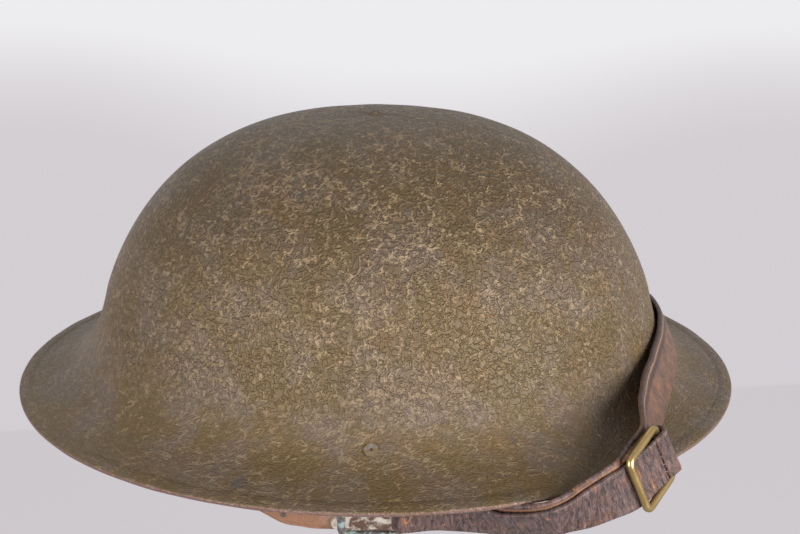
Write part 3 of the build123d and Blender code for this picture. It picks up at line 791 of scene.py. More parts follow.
def shell_mesh(sizes):
    """Closed pressing: the outer face from crown to rim, then the inner face back to the crown."""
    rows, along = shell_rows(sizes)
    bearings = oval_bearings(SHELL_COLUMNS)
    waves = unevenness(rows, bearings)
    outer = face_points(rows, waves, bearings)[::-1]
    inner = face_points(rows, waves - sizes.steel, bearings)[::INNER_STEP]
    lengths = np.concatenate([along[::-1], -along[::INNER_STEP]])
    return grid_mesh("shell_pressing", np.concatenate([outer, inner]), wall_map(bearings, lengths, sizes))


def binding_outline(sizes):
    """Folded strip in section: rows of (reach from the steel's edge inwards, lift of the face)."""
    under = -sizes.steel
    turn = np.linspace(-math.pi / 2, math.pi / 2, FOLD_POINTS)
    outer = sizes.cover + sizes.steel / 2
    fold = np.stack([-sizes.cover * np.cos(turn), under / 2 + outer * np.sin(turn)], axis=1)
    upper = np.array([*LEG_SHARES, (1.0, -LET_IN_SHARE)]) * (sizes.leg, sizes.cover)
    lower = upper[::-1] * (1, -1) + (0, under)
    return np.concatenate([lower, fold, upper])


def binding_mesh(sizes):
    """Rim strip: its section carried round the oval on the profile's slope, with its edges let in."""
    outline = binding_outline(sizes)
    run = brim_runs(sizes)[1]
    reach = 1 - outline[:, 0] / run
    slope = brim_slope(sizes, reach, run)
    normal = unit(np.stack([slope, np.ones_like(slope)], axis=-1))
    rows = np.concatenate([brim_rows(sizes, reach), normal], axis=-1)
    bearings = oval_bearings(RIM_COLUMNS)
    ripple = waves_round(RIM_RIPPLES, bearings)
    side = np.sign(outline[:, 1, None] + sizes.steel / 2) * (outline[:, :1] < sizes.leg / 2)
    points = face_points(rows, outline[:, 1, None] + ripple * side, bearings)
    along = lengths_along(outline)
    return grid_mesh("rim_strip", points, wall_map(bearings, along - along[-1] / 2, sizes))


def dress(node, material):
    """Gives a carried-over node its finish."""
    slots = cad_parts[node].data.materials
    slots.clear()
    slots.append(material)


def settle(piece, body, node):
    """The piece rides on a body and stands for its node."""
    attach(piece, body)
    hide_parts(node)


class HELMET_OT_shell(bpy.types.Operator):
    """Build the pressed shell with its crinkled paint"""

    bl_idname = "helmet.shell"
    bl_label = "Shell"

    def execute(self, context):
        mesh = shell_mesh(context.scene.helmet_shell)
        shell = finished("shell_pressing", mesh, finish_of(context, "paint"))
        settle(shell, ROOT, "shell")
        return {"FINISHED"}


class HELMET_OT_rim(bpy.types.Operator):
    """Build the folded strip round the rim"""

    bl_idname = "helmet.rim"
    bl_label = "Rim strip"

    def execute(self, context):
        strip = finished("rim_strip", binding_mesh(context.scene.helmet_shell), finish_of(context, "rim"))
        settle(strip, ROOT, "rim_binding")
        return {"FINISHED"}


# Chin strap

# Near stretch from the bail to the buckle: bearing, reach from bowl to rim, height as a share of the width,
# lean, then lift and spread of the layer behind as shares of the width and of a layer's step
NEAR_PLACES = np.array([
    (79.4, 0.498, -0.642, -20, 0.0, 1.5),
    (74.0, 0.653, -0.65, -32, 0.08, 1.1),
    (69.5, 0.835, -0.675, -42, 0.13, 1.0),
    (65.5, 1.075, -0.47, -37, 0.07, 1.0),
    (63.1, 1.095, -0.38, -28, 0.08, 1.0),
    (60.1, 1.115, -0.279, -16, 0.09, 1.0),
    (56.9, 1.145, -0.137, -4, 0.10, 1.0),
])
# Stretch over the front of the brim: bearing, way out from the bowl as a share of the width, lean
FRONT_PLACES = np.array([
    (42.5, 1.884, 20),
    (36.5, 1.462, 27),
    (30.5, 1.153, 29),
    (24.5, 0.952, 28),
    (18.5, 0.825, 27),
    (12.5, 0.746, 25),
    (6.0, 0.698, 24),
    (0.0, 0.686, 23),
])
# Buckle's middle: bearing, reach, and height as a share of the strap's width
BUCKLE_PLACE = (49.4, 1.162, 0.221)
# Yaw and pitch of the buckle's run, and its lean, in degrees
BUCKLE_TURNS = (55.7, 19.0, 13.8)
# Lift of the layer behind the buckle, as a share of the width
BEHIND_LIFT_SHARE = 0.13
# Flap behind the buckle as a share of the buckle's length, and the far flap's length
FLAP_SHARE = 0.43
FAR_FLAP = 0.014
# Middle of the near lug's eye, in which the bail swings, and the bail's lean from upright at rest
EYE_CENTRE = np.array((0.0, -0.118978, 0.000589))
BAIL_ANGLE = math.radians(12.0)
UPRIGHT = np.array((0.0, 0.0, 1.0))
FRONT_RUN = np.array((0.0, 1.0, 0.0))
OTHER_SIDE = np.array((1.0, -1.0, 1.0))
LOOP_POINTS = 9
# Steps of the smooth path between two rows, and the length of a step of the finished strap
PATH_STEPS = 10
STRAP_STEP = 0.9 * MILLIMETRE
ROUND_EDGE_SHARE = 0.42
FLAT_POINTS = 15
CORNER_POINTS = 4
# Waves of the strap's width: each one's share of the width, its length divided by two pi, and its start
EDGE_WAVES = [(0.010, 6.1 * MILLIMETRE, 0.0), (0.007, 2.3 * MILLIMETRE, 1.0)]
# Wave of the strap's face: its depth, and its length divided by two pi
SAG = 0.12 * MILLIMETRE
SAG_LENGTH = 3.7 * MILLIMETRE
# How far the strap's edges lie behind its middle
CUPPING = 0.25 * MILLIMETRE
THREAD_RADIUS = 0.00036
THREAD_SIDES = 8
STITCH_HALF = 0.0011
STITCH_RISE_SHARE = 0.55
STITCH_COUNT = 5
STITCH_SPREAD = 0.75
# The seen stitches lie this much further in, where the leather slopes to the buckle's middle
STITCH_INSET = 0.0012
FAR_STITCH_SHARE = 0.55
NEAR_STITCH_SHARE = 0.6


def oval_places(sizes, bearing, reach, height):
    """Places at a bearing in degrees from the front towards the near side, at a reach from bowl to rim."""
    rows = brim_rows(sizes, np.asarray(reach, float))
    angle = np.radians(bearing)
    x = rows[..., 3] + rows[..., 0] * np.cos(angle)
    return np.stack([x, -rows[..., 1] * np.sin(angle), np.broadcast_to(height, x.shape)], axis=-1)


def across_and_face(run, lean):
    """Unit vectors to the strap's lower edge and out of its face, from its run and its lean from upright."""
    down = unit(run * run[..., 2:] - UPRIGHT)
    level = np.cross(down, run)
    angle = np.radians(lean)[..., None]
    return down * np.cos(angle) + level * np.sin(angle), level * np.cos(angle) - down * np.sin(angle)


def wrap_way(strap, wire):
    """Way from the middle of a wire to the middle of the leather that goes round it."""
    return wire + strap.wire_gap + strap.thickness / 2


def strap_rows(centre, across, face):
    """Rows of the strap's path: its middle, the way to its lower edge and the way out of its face."""
    return np.concatenate(np.broadcast_arrays(centre, across, face), axis=-1).reshape(-1, 9)


def loop_rows(centre, run, face, across, radius, turn):
    """Turn round a wire: offsets turn from the face to the run, and the inner side stays the same."""
    angle = np.radians(np.linspace(0, turn, LOOP_POINTS))[:, None]
    outward = face * np.cos(angle) + run * np.sin(angle)
    return strap_rows(centre + outward * radius, across, -outward)


def buckle_frame(sizes, strap):
    """Buckle's middle, its run along the strap, its way across and its way out."""
    bearing, reach, height = BUCKLE_PLACE
    yaw, pitch, lean = np.radians(BUCKLE_TURNS)
    centre = oval_places(sizes, bearing, reach, height * strap.width)
    run = np.array((math.cos(yaw) * math.cos(pitch), math.sin(yaw) * math.cos(pitch), math.sin(pitch)))
    across, face = across_and_face(run, np.array(math.degrees(lean)))
    return centre, run, across, face


def bail_frame(strap):
    """Middle of the bail's front side wire, and the bail's ways down and out."""
    down = np.array((0.0, math.sin(BAIL_ANGLE), -math.cos(BAIL_ANGLE)))
    run = np.array((1.0, 0.0, 0.0))
    middle = EYE_CENTRE + down * strap.bail_height / 2 + run * strap.bail_width / 2
    return middle, run, down, np.cross(down, run)


def runs_between(points, first, last):
    """Unit directions of travel at each point, with the two ends given."""
    return np.concatenate([first[None], unit(points[2:] - points[:-2]), last[None]])


def near_rows(sizes, strap):
    """Outer layer and standing layer from the bail to the buckle's first wire."""
    middle, run, _, face = bail_frame(strap)
    centre, buckle_run, _, buckle_face = buckle_frame(sizes, strap)
    bearing, reach, height, lean, lift, spread = NEAR_PLACES.T
    wrap = wrap_way(strap, strap.bail_wire)
    buckle_wrap = wrap_way(strap, strap.buckle_wire)
    points = oval_places(sizes, bearing, reach, height * strap.width)
    last = centre - buckle_run * strap.buckle_length / 2 - buckle_face * buckle_wrap
    whole = np.concatenate([(middle + face * wrap)[None], points, last[None]])
    travel = runs_between(whole, run, buckle_run)[1:-1]
    across, out = across_and_face(travel, lean)
    step = (strap.thickness + strap.layer_gap) * spread[:, None]
    standing = points - out * step - across * strap.width * lift[:, None]
    return strap_rows(points, across, -out), strap_rows(standing, across, out)


def front_rows(sizes, strap):
    """Standing layer from behind the buckle's second wire to the middle of the front, resting on the brim."""
    bearing, way, lean = FRONT_PLACES.T
    run_fore, run_aside = brim_runs(sizes)
    angle, turn = np.radians(bearing), np.radians(lean)
    brim_way = np.hypot(run_fore * np.cos(angle), run_aside * np.sin(angle))
    reach = way * strap.width / brim_way
    drop = strap.thickness / 2 * (np.sin(turn) + brim_slope(sizes, reach, brim_way) * np.cos(turn))
    cover = np.where((1 - reach) * brim_way < sizes.leg, sizes.cover, 0)
    height = brim_rows(sizes, reach)[:, 2] + cover + strap.brim_gap + drop
    edges = oval_places(sizes, bearing, reach, height)
    travel = runs_between(edges, unit(edges[1] - edges[0]), FRONT_RUN)
    across, face = across_and_face(travel, lean)
    return strap_rows(edges - across * strap.width / 2, across, face)


def behind_rows(sizes, strap, steps):
    """Standing layer behind the buckle, at steps of half its length along its run."""
    centre, run, across, face = buckle_frame(sizes, strap)
    behind = wrap_way(strap, strap.buckle_wire) + strap.thickness + strap.layer_gap
    along = np.array(steps, float)[:, None] * strap.buckle_length / 2
    lifted = centre + run * along - face * behind - across * strap.width * BEHIND_LIFT_SHARE
    return strap_rows(lifted, across, face)


def bail_rows(strap):
    """Half turn round the bail's side wire, from the outer layer to the standing one."""
    middle, run, down, face = bail_frame(strap)
    return loop_rows(middle, run, face, down, wrap_way(strap, strap.bail_wire), -180)


def near_strap_rows(sizes, strap):
    """Near piece: the flap, the fold in the buckle, the outer layer, the loop, and back behind the buckle."""
    centre, run, across, face = buckle_frame(sizes, strap)
    wrap = wrap_way(strap, strap.buckle_wire)
    half = run * strap.buckle_length / 2
    flap = strap_rows(centre + half - run * strap.buckle_length * FLAP_SHARE - face * wrap, across, face)
    fold = loop_rows(centre + half, run, face, across, wrap, 180)[::-1]
    inside = strap_rows(np.stack([centre, centre - half - face * wrap]), across, -face)
    outer, standing = near_rows(sizes, strap)
    behind = behind_rows(sizes, strap, (-1, 0))
    return np.concatenate([flap, fold, inside, outer[::-1], bail_rows(strap), standing, behind])


def far_strap_rows(sizes, strap):
    """Far piece: from behind the buckle over the front, round to the far bail and back as its flap."""
    middle, run, down, face = bail_frame(strap)
    standing = near_rows(sizes, strap)[1]
    front = front_rows(sizes, strap)
    flap = strap_rows(middle + face * wrap_way(strap, strap.bail_wire) + run * FAR_FLAP, down, -face)
    half = np.concatenate([flap, bail_rows(strap), standing, behind_rows(sizes, strap, (-1, 0, 1)), front])
    mirrored = half[::-1] * np.tile(OTHER_SIDE, 3)
    return np.concatenate([behind_rows(sizes, strap, (0, 1)), front, mirrored[1:]])


def strap_outline(strap):
    """Leather in section: a strip with round edges, rows of (way to the lower edge, way out of the face)."""
    half, round_edge = strap.width / 2, strap.thickness * ROUND_EDGE_SHARE
    flat = np.linspace(-half + round_edge, half - round_edge, FLAT_POINTS)[1:-1]
    turn = np.radians(np.linspace(90, 0, CORNER_POINTS))
    corner = round_edge * np.stack([np.cos(turn), np.sin(turn)], axis=1)
    reach = np.array((half - round_edge, strap.thickness / 2 - round_edge))
    lower = np.concatenate([reach + corner, (reach + corner[::-1]) * (1, -1)])
    upper = lower * (-1, -1)
    top = np.stack([flat, np.full_like(flat, strap.thickness / 2)], axis=1)
    return np.concatenate([top, lower, -top, upper])


def strap_mesh(name, rows, strap):
    """Strap: its outline carried along the smooth path, with a slight cupping and worn, wavy edges."""
    fine = smooth_rows(rows, PATH_STEPS)
    along = lengths_along(fine[:, :3])
    fine, even = evenly(fine, along, int(along[-1] / STRAP_STEP))
    across, face = unit(fine[:, 3:6]), unit(fine[:, 6:9])
    outline = strap_outline(strap)
    rings = carried(fine[:, :3], across, face, outline)
    wave = sum(size * np.sin(even / wave_length + start) for size, wave_length, start in EDGE_WAVES)
    share_out = outline[None, :, :1] / (strap.width / 2)
    rings = rings + across[:, None] * outline[None, :, :1] * wave[:, None, None]
    sag = SAG * np.sin(even / SAG_LENGTH)[:, None, None] * share_out
    rings = rings + face[:, None] * (sag - CUPPING * share_out ** 2)
    return ring_mesh(name, capped(rings))


def arch_mesh(name, place, along, out, size):
    """Stitch: a round thread that rises out of one hole and goes down the next, as half a turn of a ring."""
    turn = np.linspace(0, math.pi, LOOP_POINTS)[:, None]
    points = place + along * size * np.cos(turn) + out * size * STITCH_RISE_SHARE * np.sin(turn)
    outward = along * np.cos(turn) + out * np.sin(turn)
    side = np.broadcast_to(np.cross(along, out), points.shape)
    return ring_mesh(name, capped(carried(points, side, unit(outward), circle(THREAD_RADIUS, THREAD_SIDES))))


def stitch_meshes(strap, place, across, out, faces):
    """Row of stitches across the strap on each of two faces, at their distances out from the place."""
    sides = (np.arange(STITCH_COUNT) / (STITCH_COUNT - 1) - 0.5) * strap.width * STITCH_SPREAD
    made = []
    for distance in faces:
        facing = out * math.copysign(1, distance)
        for side in sides:
            spot = place + across * side + out * distance
            made.append(arch_mesh("stitch", spot, across, facing, STITCH_HALF))
    return made


def strap_blend(piece):
    """Bakes the piece's placing into its mesh."""
    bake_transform(piece)


class HELMET_OT_strap(bpy.types.Operator):
    """Build the leather chin strap and its stitches"""

    bl_idname = "helmet.strap"
    bl_label = "Chin strap"

    def execute(self, context):
        sizes, strap = context.scene.helmet_shell, context.scene.helmet_strap
        leather, thread = finish_of(context, "strap"), finish_of(context, "thread")
        near = finished("near_strap", strap_mesh("near_strap", near_strap_rows(sizes, strap), strap), leather)
        far = finished("far_strap", strap_mesh("far_strap", far_strap_rows(sizes, strap), strap), leather)
        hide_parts("chinstrap")
        strap_blend(near)
        strap_blend(far)
        centre, run, across, face = buckle_frame(sizes, strap)
        wrap = wrap_way(strap, strap.buckle_wire) + strap.thickness / 2
        place = centre + run * strap.buckle_length * (0.5 - FLAP_SHARE * NEAR_STITCH_SHARE)
        rows = stitch_meshes(strap, place, across, face, (wrap - STITCH_INSET, -wrap))
        settle(joined("buckle_stitches", rows, thread), ROOT, "near_stitches")
        middle, run, down, face = bail_frame(strap)
        wrap = wrap_way(strap, strap.bail_wire) + strap.thickness / 2
        place = middle + run * FAR_FLAP * FAR_STITCH_SHARE
        rows = stitch_meshes(strap, place * OTHER_SIDE, down * OTHER_SIDE, face * OTHER_SIDE, (wrap, -wrap))
        far_row = joined("bail_stitches", rows, thread)
        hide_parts("far_stitches")
        strap_blend(far_row)
        return {"FINISHED"}


# Liner

WALL_POINTS = 12
WALL_TURN_POINTS = 7
BAND_COLUMNS = 300
# Band's worn lower edge: its mean rise, the depth of its ragged waves, and each one's share, count and start
EDGE_RISE = 0.0006
RAGGED = 0.00025
RAGGED_WAVES = [(1.0, 9, 1.0), (0.8, 21, 0.0), (0.5, 47, 2.0)]
# Waves of the band's face: each one's share, count round the band, and height in which it shifts by a radian
FACE_WAVES = [(1.0, 14, 0.019), (0.6, 31, -0.012)]
# The leather has shrunk at the back: its lower edge climbs from this place on, over this way
SHRUNK_FROM = -0.036
SHRUNK_OVER = 0.026
# Rise of the shrunk edge and waves of the face, of the band and of the inner leather
BAND_WEAR, BAND_WAVES = 0.0070, 0.00010
INNER_WEAR, INNER_WAVES = 0.0086, 0.00004
# Net strands: where they start on the dome, their points, sides and how many openings each passes on its way
NET_START = 0.04
NET_POINTS = 44
TWINE_SIDES = 6
NET_PASSES = 3
YARN_SIDES = 7
YARN_POINTS = 360
YARN_TWISTS = 43
TUBE_SIDES = 28
TUBE_CAP_POINTS = 6
TUBE_WALL_POINTS = 7
TUBE_END = 0.0006
TUBE_WAIST = 0.00025
TUBE_RIBS = 3
PAD_INSET = 0.0006
PAD_SIDES = 28
PAD_COLUMNS = 90
# Power of the pad's section: 1 is an ellipse, 0 a rectangle
PAD_POWER = 0.45
PAD_VOXEL = 0.0014
PAD_FRAMES = 20
PAD_PRESSURE = 4.0
PAD_CAP = 0.0006


def dome_level(liner, spread):
    """Level of the liner dome where its half sizes are a given share of the band's."""
    shell = bpy.context.scene.helmet_shell
    return liner.band_top + (liner.top - liner.band_top) * superellipse_rise(shell, spread)


def liner_rows(liner, turn):
    """Liner dome like the bowl: half sizes shrink as the turn's cosine, height rises as a superellipse."""
    spread = np.cos(turn)
    height = dome_level(liner, spread)
    half_length, half_width = liner.band_half_length * spread, liner.band_half_width * spread
    rows = np.stack([half_length, half_width, height, np.zeros_like(spread)], axis=-1)
    middle = (half_length + half_width) / 2
    slope = np.stack([np.gradient(height, turn), -np.gradient(middle, turn)], axis=-1)
    return np.concatenate([rows, unit(slope)], axis=-1)


def liner_height(liner, x, y):
    """Level of the liner dome over a place of the plan."""
    return dome_level(liner, np.hypot(x / liner.band_half_length, y / liner.band_half_width))


def tube_rings(points, outward, radius, sides):
    """Rings of a tube along a path, (n, 3), square to its run."""
    run = unit(np.gradient(points, axis=0))
    across = unit(np.cross(run, outward))
    return carried(points, across, np.cross(across, run), circle(radius, sides))


def wall_section(height, thickness):
    """Leather wall in section: a strip with round edges, rows of (share of the height, way out)."""
    rise = np.linspace(0, 1, WALL_POINTS)
    turn = np.linspace(-math.pi / 2, math.pi / 2, WALL_TURN_POINTS)[1:-1]
    cap = thickness / height * 0.5
    outer = np.stack([cap + (1 - 2 * cap) * rise, np.zeros_like(rise)], axis=1)
    inner = outer[::-1] - (0, thickness)
    top = np.stack([1 - cap + cap * np.cos(turn[::-1]), thickness / 2 * (np.sin(turn[::-1]) - 1)], axis=1)
    bottom = np.stack([cap - cap * np.cos(turn), thickness / 2 * (np.sin(turn) - 1)], axis=1)
    return np.concatenate([outer, top, inner, bottom])


def band_mesh(name, liner, outer_lift, thickness, low, high, wear, waves):
    """Leather band: a section carried round the oval, with a worn lower edge and slight waves of its face."""
    bearing = even_angles(BAND_COLUMNS)[:, None]
    section = wall_section(high - low, thickness)
    up, lift = section[None, :, 0], section[None, :, 1] + outer_lift
    ragged = waves_round(RAGGED_WAVES, bearing)
    x = liner.band_half_length * np.cos(bearing)
    climb = ((SHRUNK_FROM - x) / SHRUNK_OVER).clip(0, 1)
    edge = low + EDGE_RISE + wear * climb ** 2 * (3 - 2 * climb) + RAGGED * ragged
    height = edge + (high - edge) * up
    ripple = waves * sum(size * np.sin(turns * bearing + height / rise) for size, turns, rise in FACE_WAVES)
    ripple = ripple * (1 - up)
    x = (liner.band_half_length + lift + ripple) * np.cos(bearing)
    y = (liner.band_half_width + lift + ripple) * np.sin(bearing)
    rings = places(x, y, height)
    return ring_mesh(name, rings, closed_rows=True)


def net_meshes(liner):
    """Net: two families of strands that climb the liner dome and turn about it, one each way."""
    last = math.acos(liner.net_opening / liner.band_half_width)
    turn = np.linspace(NET_START, last, NET_POINTS)
    rows = liner_rows(liner, turn)
    lift = -liner.layer_gap - liner.net_thickness / 2
    starts = even_angles(liner.net_count)[None, :]
    climb = ((turn - turn[0]) / (last - turn[0]))[:, None]
    made = []
    for way in (1, -1):
        bearing = starts + way * climb * NET_PASSES * 2 * math.pi / liner.net_count
        points = face_points(rows, lift, bearing)
        level, upright = rows[:, 4, None], rows[:, 5, None]
        facing = places(level * np.cos(bearing), level * np.sin(bearing), upright)
        for strand in range(liner.net_count):
            rings = capped(tube_rings(points[:, strand], facing[:, strand], liner.twine, TWINE_SIDES))
            made.append(ring_mesh("strand", rings))
    return made


def hoop_mesh(name, points, outward, radius, sides):
    """Closed tube along a ring of points."""
    run = unit(np.roll(points, -1, axis=0) - np.roll(points, 1, axis=0))
    across = unit(np.cross(run, outward))
    rings = carried(points, across, np.cross(across, run), circle(radius, sides))
    return ring_mesh(name, rings, closed_rows=True)


def cord_meshes(liner):
    """Draw cord: two yarns that wind about a circle under the liner dome, half a turn apart."""
    angle = even_angles(YARN_POINTS)
    yarn = liner.cord_width / 4
    made = []
    for start in (0, math.pi):
        twist = angle * YARN_TWISTS + start
        radius = liner.cord_ring + yarn * np.cos(twist)
        x, y = radius * np.cos(angle), radius * np.sin(angle)
        drop = 2 * liner.layer_gap + liner.net_thickness + liner.cord_width / 2
        z = liner_height(liner, liner.cord_ring * np.cos(angle), liner.cord_ring * np.sin(angle)) - drop
        points = np.stack([x, y, z + yarn * np.sin(twist)], axis=1)
        outward = places(np.cos(angle), np.sin(angle), 0.0)
        made.append(hoop_mesh("yarn", points, outward, yarn, YARN_SIDES))
    return made


def tube_meshes(liner):
    """Rubber tubes: a thick wall with round ends, turned about upright axes beside the head band."""
    wall = (liner.tube_radius - liner.tube_bore) / 2
    turn = np.linspace(0, math.pi, TUBE_CAP_POINTS)
    cap = np.stack([liner.tube_bore + wall + wall * np.cos(turn), TUBE_END * np.sin(turn)], axis=1)
    bottom = liner.tube_top - liner.tube_length + TUBE_END
    length_inside = liner.tube_length - 2 * TUBE_END
    upper = cap + (0, bottom + length_inside)
    lower = cap[::-1] * (1, -1) + (0, bottom)
    side = np.linspace(0, 1, TUBE_WALL_POINTS)[1:-1]
    waist = liner.tube_radius - TUBE_WAIST * np.sin(side * math.pi * TUBE_RIBS)
    outer = np.stack([waist, bottom + length_inside * side], axis=1)
    bore = np.stack([np.full_like(side, liner.tube_bore), bottom + length_inside * side[::-1]], axis=1)
    outline = np.concatenate([upper, bore, lower, outer])
    made = []
    for step in range(liner.tube_count):
        angle = 2 * math.pi / liner.tube_count * (step + 0.5)
        direction = np.array((math.cos(angle), math.sin(angle)))
        half_sizes = np.array((liner.band_half_length, liner.band_half_width))
        facing = unit(half_sizes[::-1] * direction)
        centre = half_sizes * direction + facing * (liner.tube_radius + liner.tube_gap)
        level = outline[:, :1, None] * circle(1.0, TUBE_SIDES)[None]
        heights = np.repeat(outline[:, None, 1:], TUBE_SIDES, axis=1)
        points = np.concatenate([level + centre, heights], axis=-1)
        made.append(ring_mesh("tube", points, closed_rows=True))
    return made


def signed_power(values, power):
    """Power of each value's size, with the value's sign."""
    return np.sign(values) * np.abs(values) ** power


def pad_mesh(liner, inset):
    """Felt pad before it swells: a flat ring's rounded section, bent to lie under the liner dome."""
    gap = 4 * liner.layer_gap + liner.net_thickness + liner.disc_thickness + inset
    thickness = liner.pad_thickness - 2 * inset
    turn = even_angles(PAD_SIDES)[None, :]
    bearing = even_angles(PAD_COLUMNS)[:, None]
    half = (liner.pad_radius - liner.pad_hole) / 2 - inset
    middle = (liner.pad_radius + liner.pad_hole) / 2
    level = middle + half * signed_power(np.cos(turn), PAD_POWER)
    up = thickness / 2 * signed_power(np.sin(turn), PAD_POWER)
    x, y = level * np.cos(bearing), level * np.sin(bearing)
    z = liner_height(liner, x, y) - gap - thickness / 2 + up
    rings = places(x, y, z)
    return ring_mesh("crown_felt", rings, closed_rows=True)


def swollen(piece, voxel, cap):
    """Lets a piece swell as cloth under a little pressure, with no point moved further than the cap."""
    scene = bpy.context.scene
    remesh = piece.modifiers.new("Remesh", "REMESH")
    remesh.mode = "VOXEL"
    remesh.voxel_size = voxel
    remesh.use_smooth_shade = True
    settled_mesh(piece)
    before = vertex_places(piece.data)
    cloth = piece.modifiers.new("Cloth", "CLOTH")
    cloth.settings.use_pressure = True
    cloth.settings.uniform_pressure_force = PAD_PRESSURE
    cloth.settings.effector_weights.gravity = 0.0
    cloth.point_cache.frame_start = 1
    cloth.point_cache.frame_end = PAD_FRAMES
    for number in range(1, PAD_FRAMES + 1):
        scene.frame_set(number)
    settled_mesh(piece)
    scene.frame_set(1)
    moved = vertex_places(piece.data) - before
    far = np.linalg.norm(moved, axis=1, keepdims=True)
    moved = np.nan_to_num(moved * np.minimum(1, cap / np.maximum(far, MILLIMETRE / 1000)))
    piece.data.vertices.foreach_set("co", (before + moved).ravel())
    fine = piece.modifiers.new("Subdivision", "SUBSURF")
    fine.levels = fine.render_levels = 1
    settled_mesh(piece)


def vertex_places(mesh):
    """Places of a mesh's points, (n, 3)."""
    points = np.empty(len(mesh.vertices) * 3)
    mesh.vertices.foreach_get("co", points)
    return points.reshape(-1, 3)


def settled_mesh(piece):
    """Puts the piece's mesh after its modifiers in place of the mesh and the modifiers."""
    graph = bpy.context.evaluated_depsgraph_get()
    made = bpy.data.meshes.new_from_object(piece.evaluated_get(graph))
    piece.modifiers.clear()
    piece.data = made


class HELMET_OT_liner(bpy.types.Operator):
    """Build the head band, the inner leather, the net, the draw cord and the rubber tubes"""

    bl_idname = "helmet.liner"
    bl_label = "Liner"

    def execute(self, context):
        liner = context.scene.helmet_liner
        band = band_mesh("head_band_leather", liner, 0.0, liner.band_thickness, liner.band_bottom,
                         liner.band_top, BAND_WEAR, BAND_WAVES)
        lift = -liner.band_thickness - liner.layer_gap
        inner = band_mesh("inner_leather", liner, lift, liner.sweatband_thickness, liner.sweatband_bottom,
                          liner.sweatband_top, INNER_WEAR, INNER_WAVES)
        pieces = [
            ("head_band_leather", [band], "band", "liner_leather", "head_band"),
            ("inner_leather", [inner], "band", "sweat_leather", "sweatband"),
            ("twine_net", net_meshes(liner), "twine", "twine", "liner_net"),
            ("draw_cord_yarns", cord_meshes(liner), "twine", "twine", "draw_cord"),
            ("rubber_tubes", tube_meshes(liner), "rubber", "rubber", "rubber_buffers"),
        ]
        for name, meshes, look, slot, node in pieces:
            material = finish_of(context, look)
            piece = joined(name, meshes, material) if len(meshes) > 1 else finished(name, meshes[0], material)
            settle(piece, ROOT, node)
        return {"FINISHED"}


class HELMET_OT_pad(bpy.types.Operator):
    """Build the felt pad under the crown"""

    bl_idname = "helmet.pad"
    bl_label = "Crown pad"

    def execute(self, context):
        liner = context.scene.helmet_liner
        pad = finished("crown_felt", pad_mesh(liner, PAD_INSET), finish_of(context, "felt"))
        swollen(pad, PAD_VOXEL, PAD_CAP)
        settle(pad, ROOT, "crown_pad")
        return {"FINISHED"}


# Nodes that keep their own shape, by the finish that each takes
FITTINGS = {
    "paint": ["crown_rivet"],
    "rivet": ["near_lug_rivet", "far_lug_rivet"],
    "wire": ["near_lug", "far_lug", "near_bail", "far_bail"],
    "brass": ["buckle"],
    "steel": ["crown_washer", "buffer_brads", "lower_brads", "band_rivets"],
    "band": ["crown_cross", "crown_disc"],
}


class HELMET_OT_fittings(bpy.types.Operator):
    """Give the rivets, lugs, bails, buckle, brads and crown pieces their finish"""

    bl_idname = "helmet.fittings"
    bl_label = "Fittings"

    def execute(self, context):
        for look, nodes in FITTINGS.items():
            for node in nodes:
                dress(node, finish_of(context, look))
        return {"FINISHED"}


# Stage

CAMERA_PLACE = (0.01195, -0.65185, 0.25484)
CAMERA_DOWN = math.radians(17.779)
CAMERA_HEADING = math.radians(0.167)
CAMERA_ROLL = math.radians(-0.100)
CAMERA_LENS = 70.6
SENSOR_WIDTH = 36.0
CLIP_NEAR = 0.01
CLIP_FAR = 50.0
FLOOR_LEVEL = -0.25
FLOOR_HALF = 6.0
# Share of the table's tone that the camera sees as written, without light or shadow on it
TABLE_SEEN_SHARE = 0.86
SKY_STRENGTH = 0.08
SEEN_SKY_STRENGTH = 1.0
# Each lamp's name, place, side and power
LAMPS = [
    ("Left window", (-1.15, -1.12, 0.38), 1.1, 28.0),
    ("Right window", (1.16, -1.14, 0.36), 1.0, 52.0),
    ("Back window", (-0.3, 1.3, 1.5), 1.6, 4.5),
]
LAMP_TARGET = (0.0, 0.0, 0.04)


def stage_finish(colours):
    """Pale table that keeps the shadows and, beyond a soft slanting line, the paler wall, painted brighter in
    its middle and further back as a pool of light.
    """
    finish = Finish("Pale table")
    along, away = finish.part(finish.place, 0), finish.part(finish.place, 1)
    wall = finish.step(away - along * 0.16, 0.50, 0.55)
    # Painted light on the wall: brighter in the middle and further back, darker nearer the table and to the
    # sides
    aside = finish.math("DIVIDE", along - 0.01, away + 0.65)
    middle = 1 - finish.step(abs(aside), 0.02, 0.24)
    tone = finish.mix(finish.step(away + middle * 0.45, 1.45, 2.65), colours.backdrop_side, colours.backdrop)
    table = finish.node("ShaderNodeBsdfDiffuse", inputs={"Color": (*colours.floor, 1.0)})
    pale = finish.node("ShaderNodeEmission", inputs={"Color": tone, "Strength": 1.0})
    share_seen = finish.math("MAXIMUM", wall, TABLE_SEEN_SHARE) * finish.seen()
    both = finish.node("ShaderNodeMixShader", inputs={0: share_seen, 1: table, 2: pale})
    finish.node("ShaderNodeOutputMaterial", inputs={"Surface": both})
    return finish.material


def soft_lamp(name, place, side, power):
    """Large square lamp that looks at the middle of the bowl."""
    lamp = bpy.data.lights.new(name, "AREA")
    lamp.shape = "SQUARE"
    lamp.size = side
    lamp.energy = power
    made = linked(name, lamp)
    made.location = place
    made.rotation_euler = (Vector(LAMP_TARGET) - Vector(place)).to_track_quat("-Z", "Y").to_euler()


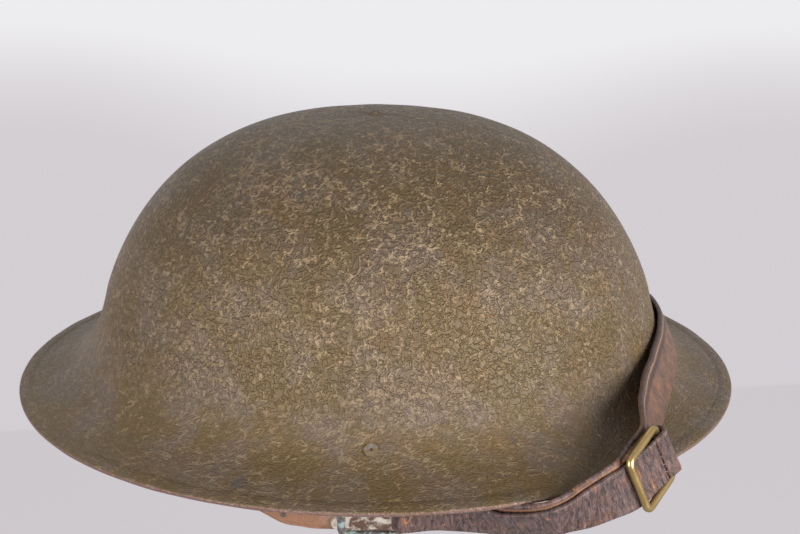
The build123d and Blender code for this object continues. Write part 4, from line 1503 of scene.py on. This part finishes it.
def pale_world(colours):
    """Dim even sky for the object, and the pale backdrop for what the camera and mirrors see of it."""
    world = bpy.data.worlds.new("Pale studio")
    graph = Graph(world)
    sky, seen_sky = (
        graph.node("ShaderNodeBackground", inputs={"Color": (*colours.backdrop, 1), "Strength": strength})
        for strength in (SKY_STRENGTH, SEEN_SKY_STRENGTH)
    )
    both = graph.node("ShaderNodeMixShader", inputs={0: graph.seen(), 1: sky, 2: seen_sky})
    graph.node("ShaderNodeOutputWorld", inputs={"Surface": both})
    bpy.context.scene.world = world


def place_camera():
    """Camera at the photograph's place and angle."""
    camera = bpy.data.cameras.new("Camera")
    camera.lens = CAMERA_LENS
    camera.sensor_width = SENSOR_WIDTH
    camera.clip_start = CLIP_NEAR
    camera.clip_end = CLIP_FAR
    made = linked("Camera", camera)
    made.location = CAMERA_PLACE
    made.rotation_euler = (math.pi / 2 - CAMERA_DOWN, CAMERA_ROLL, CAMERA_HEADING)
    made.rotation_mode = "XYZ"
    bpy.context.scene.camera = made


class HELMET_OT_stage(bpy.types.Operator):
    """Set the pale table, the lamps and the camera"""

    bl_idname = "helmet.stage"
    bl_label = "Stage"

    def execute(self, context):
        colours = context.scene.helmet_colours
        side = np.array((-FLOOR_HALF, FLOOR_HALF))
        corners = np.stack(np.meshgrid(side, side, indexing="xy"), axis=-1)
        points = np.concatenate([corners, np.full((2, 2, 1), FLOOR_LEVEL)], axis=-1)
        mesh = grid_mesh("table", points, corners, closed_columns=False)
        finished("table", mesh, stage_finish(colours))
        for lamp in LAMPS:
            soft_lamp(*lamp)
        pale_world(colours)
        place_camera()
        context.scene.view_settings.view_transform = "Standard"
        return {"FINISHED"}


class HELMET_PT_panel(bpy.types.Panel):
    """Sizes, colours and build steps of the helmet"""

    bl_label = "Helmet"
    bl_idname = "HELMET_PT_panel"
    bl_space_type = "VIEW_3D"
    bl_region_type = "UI"
    bl_category = "Helmet"

    def draw(self, context):
        for key in GROUPS:
            group = getattr(context.scene, key)
            for name in group.__annotations__:
                self.layout.prop(group, name)
        for step in STEPS:
            self.layout.operator(step.bl_idname)


GROUPS = {
    "helmet_shell": HelmetShellSizes,
    "helmet_strap": HelmetStrapSizes,
    "helmet_liner": HelmetLinerSizes,
    "helmet_colours": HelmetColours,
}
STEPS = [
    HELMET_OT_shell,
    HELMET_OT_rim,
    HELMET_OT_strap,
    HELMET_OT_liner,
    HELMET_OT_pad,
    HELMET_OT_fittings,
    HELMET_OT_stage,
]


def register():
    for kind in (*GROUPS.values(), *STEPS, HELMET_PT_panel):
        bpy.utils.register_class(kind)
    for name, kind in GROUPS.items():
        setattr(bpy.types.Scene, name, PointerProperty(type=kind))


def unregister():
    for name in GROUPS:
        delattr(bpy.types.Scene, name)
    for kind in (HELMET_PT_panel, *reversed(STEPS), *GROUPS.values()):
        bpy.utils.unregister_class(kind)


def main():
    register()
    for step in STEPS:
        group, name = step.bl_idname.split(".")
        getattr(getattr(bpy.ops, group), name)()


if __name__ == "__main__":
    main()
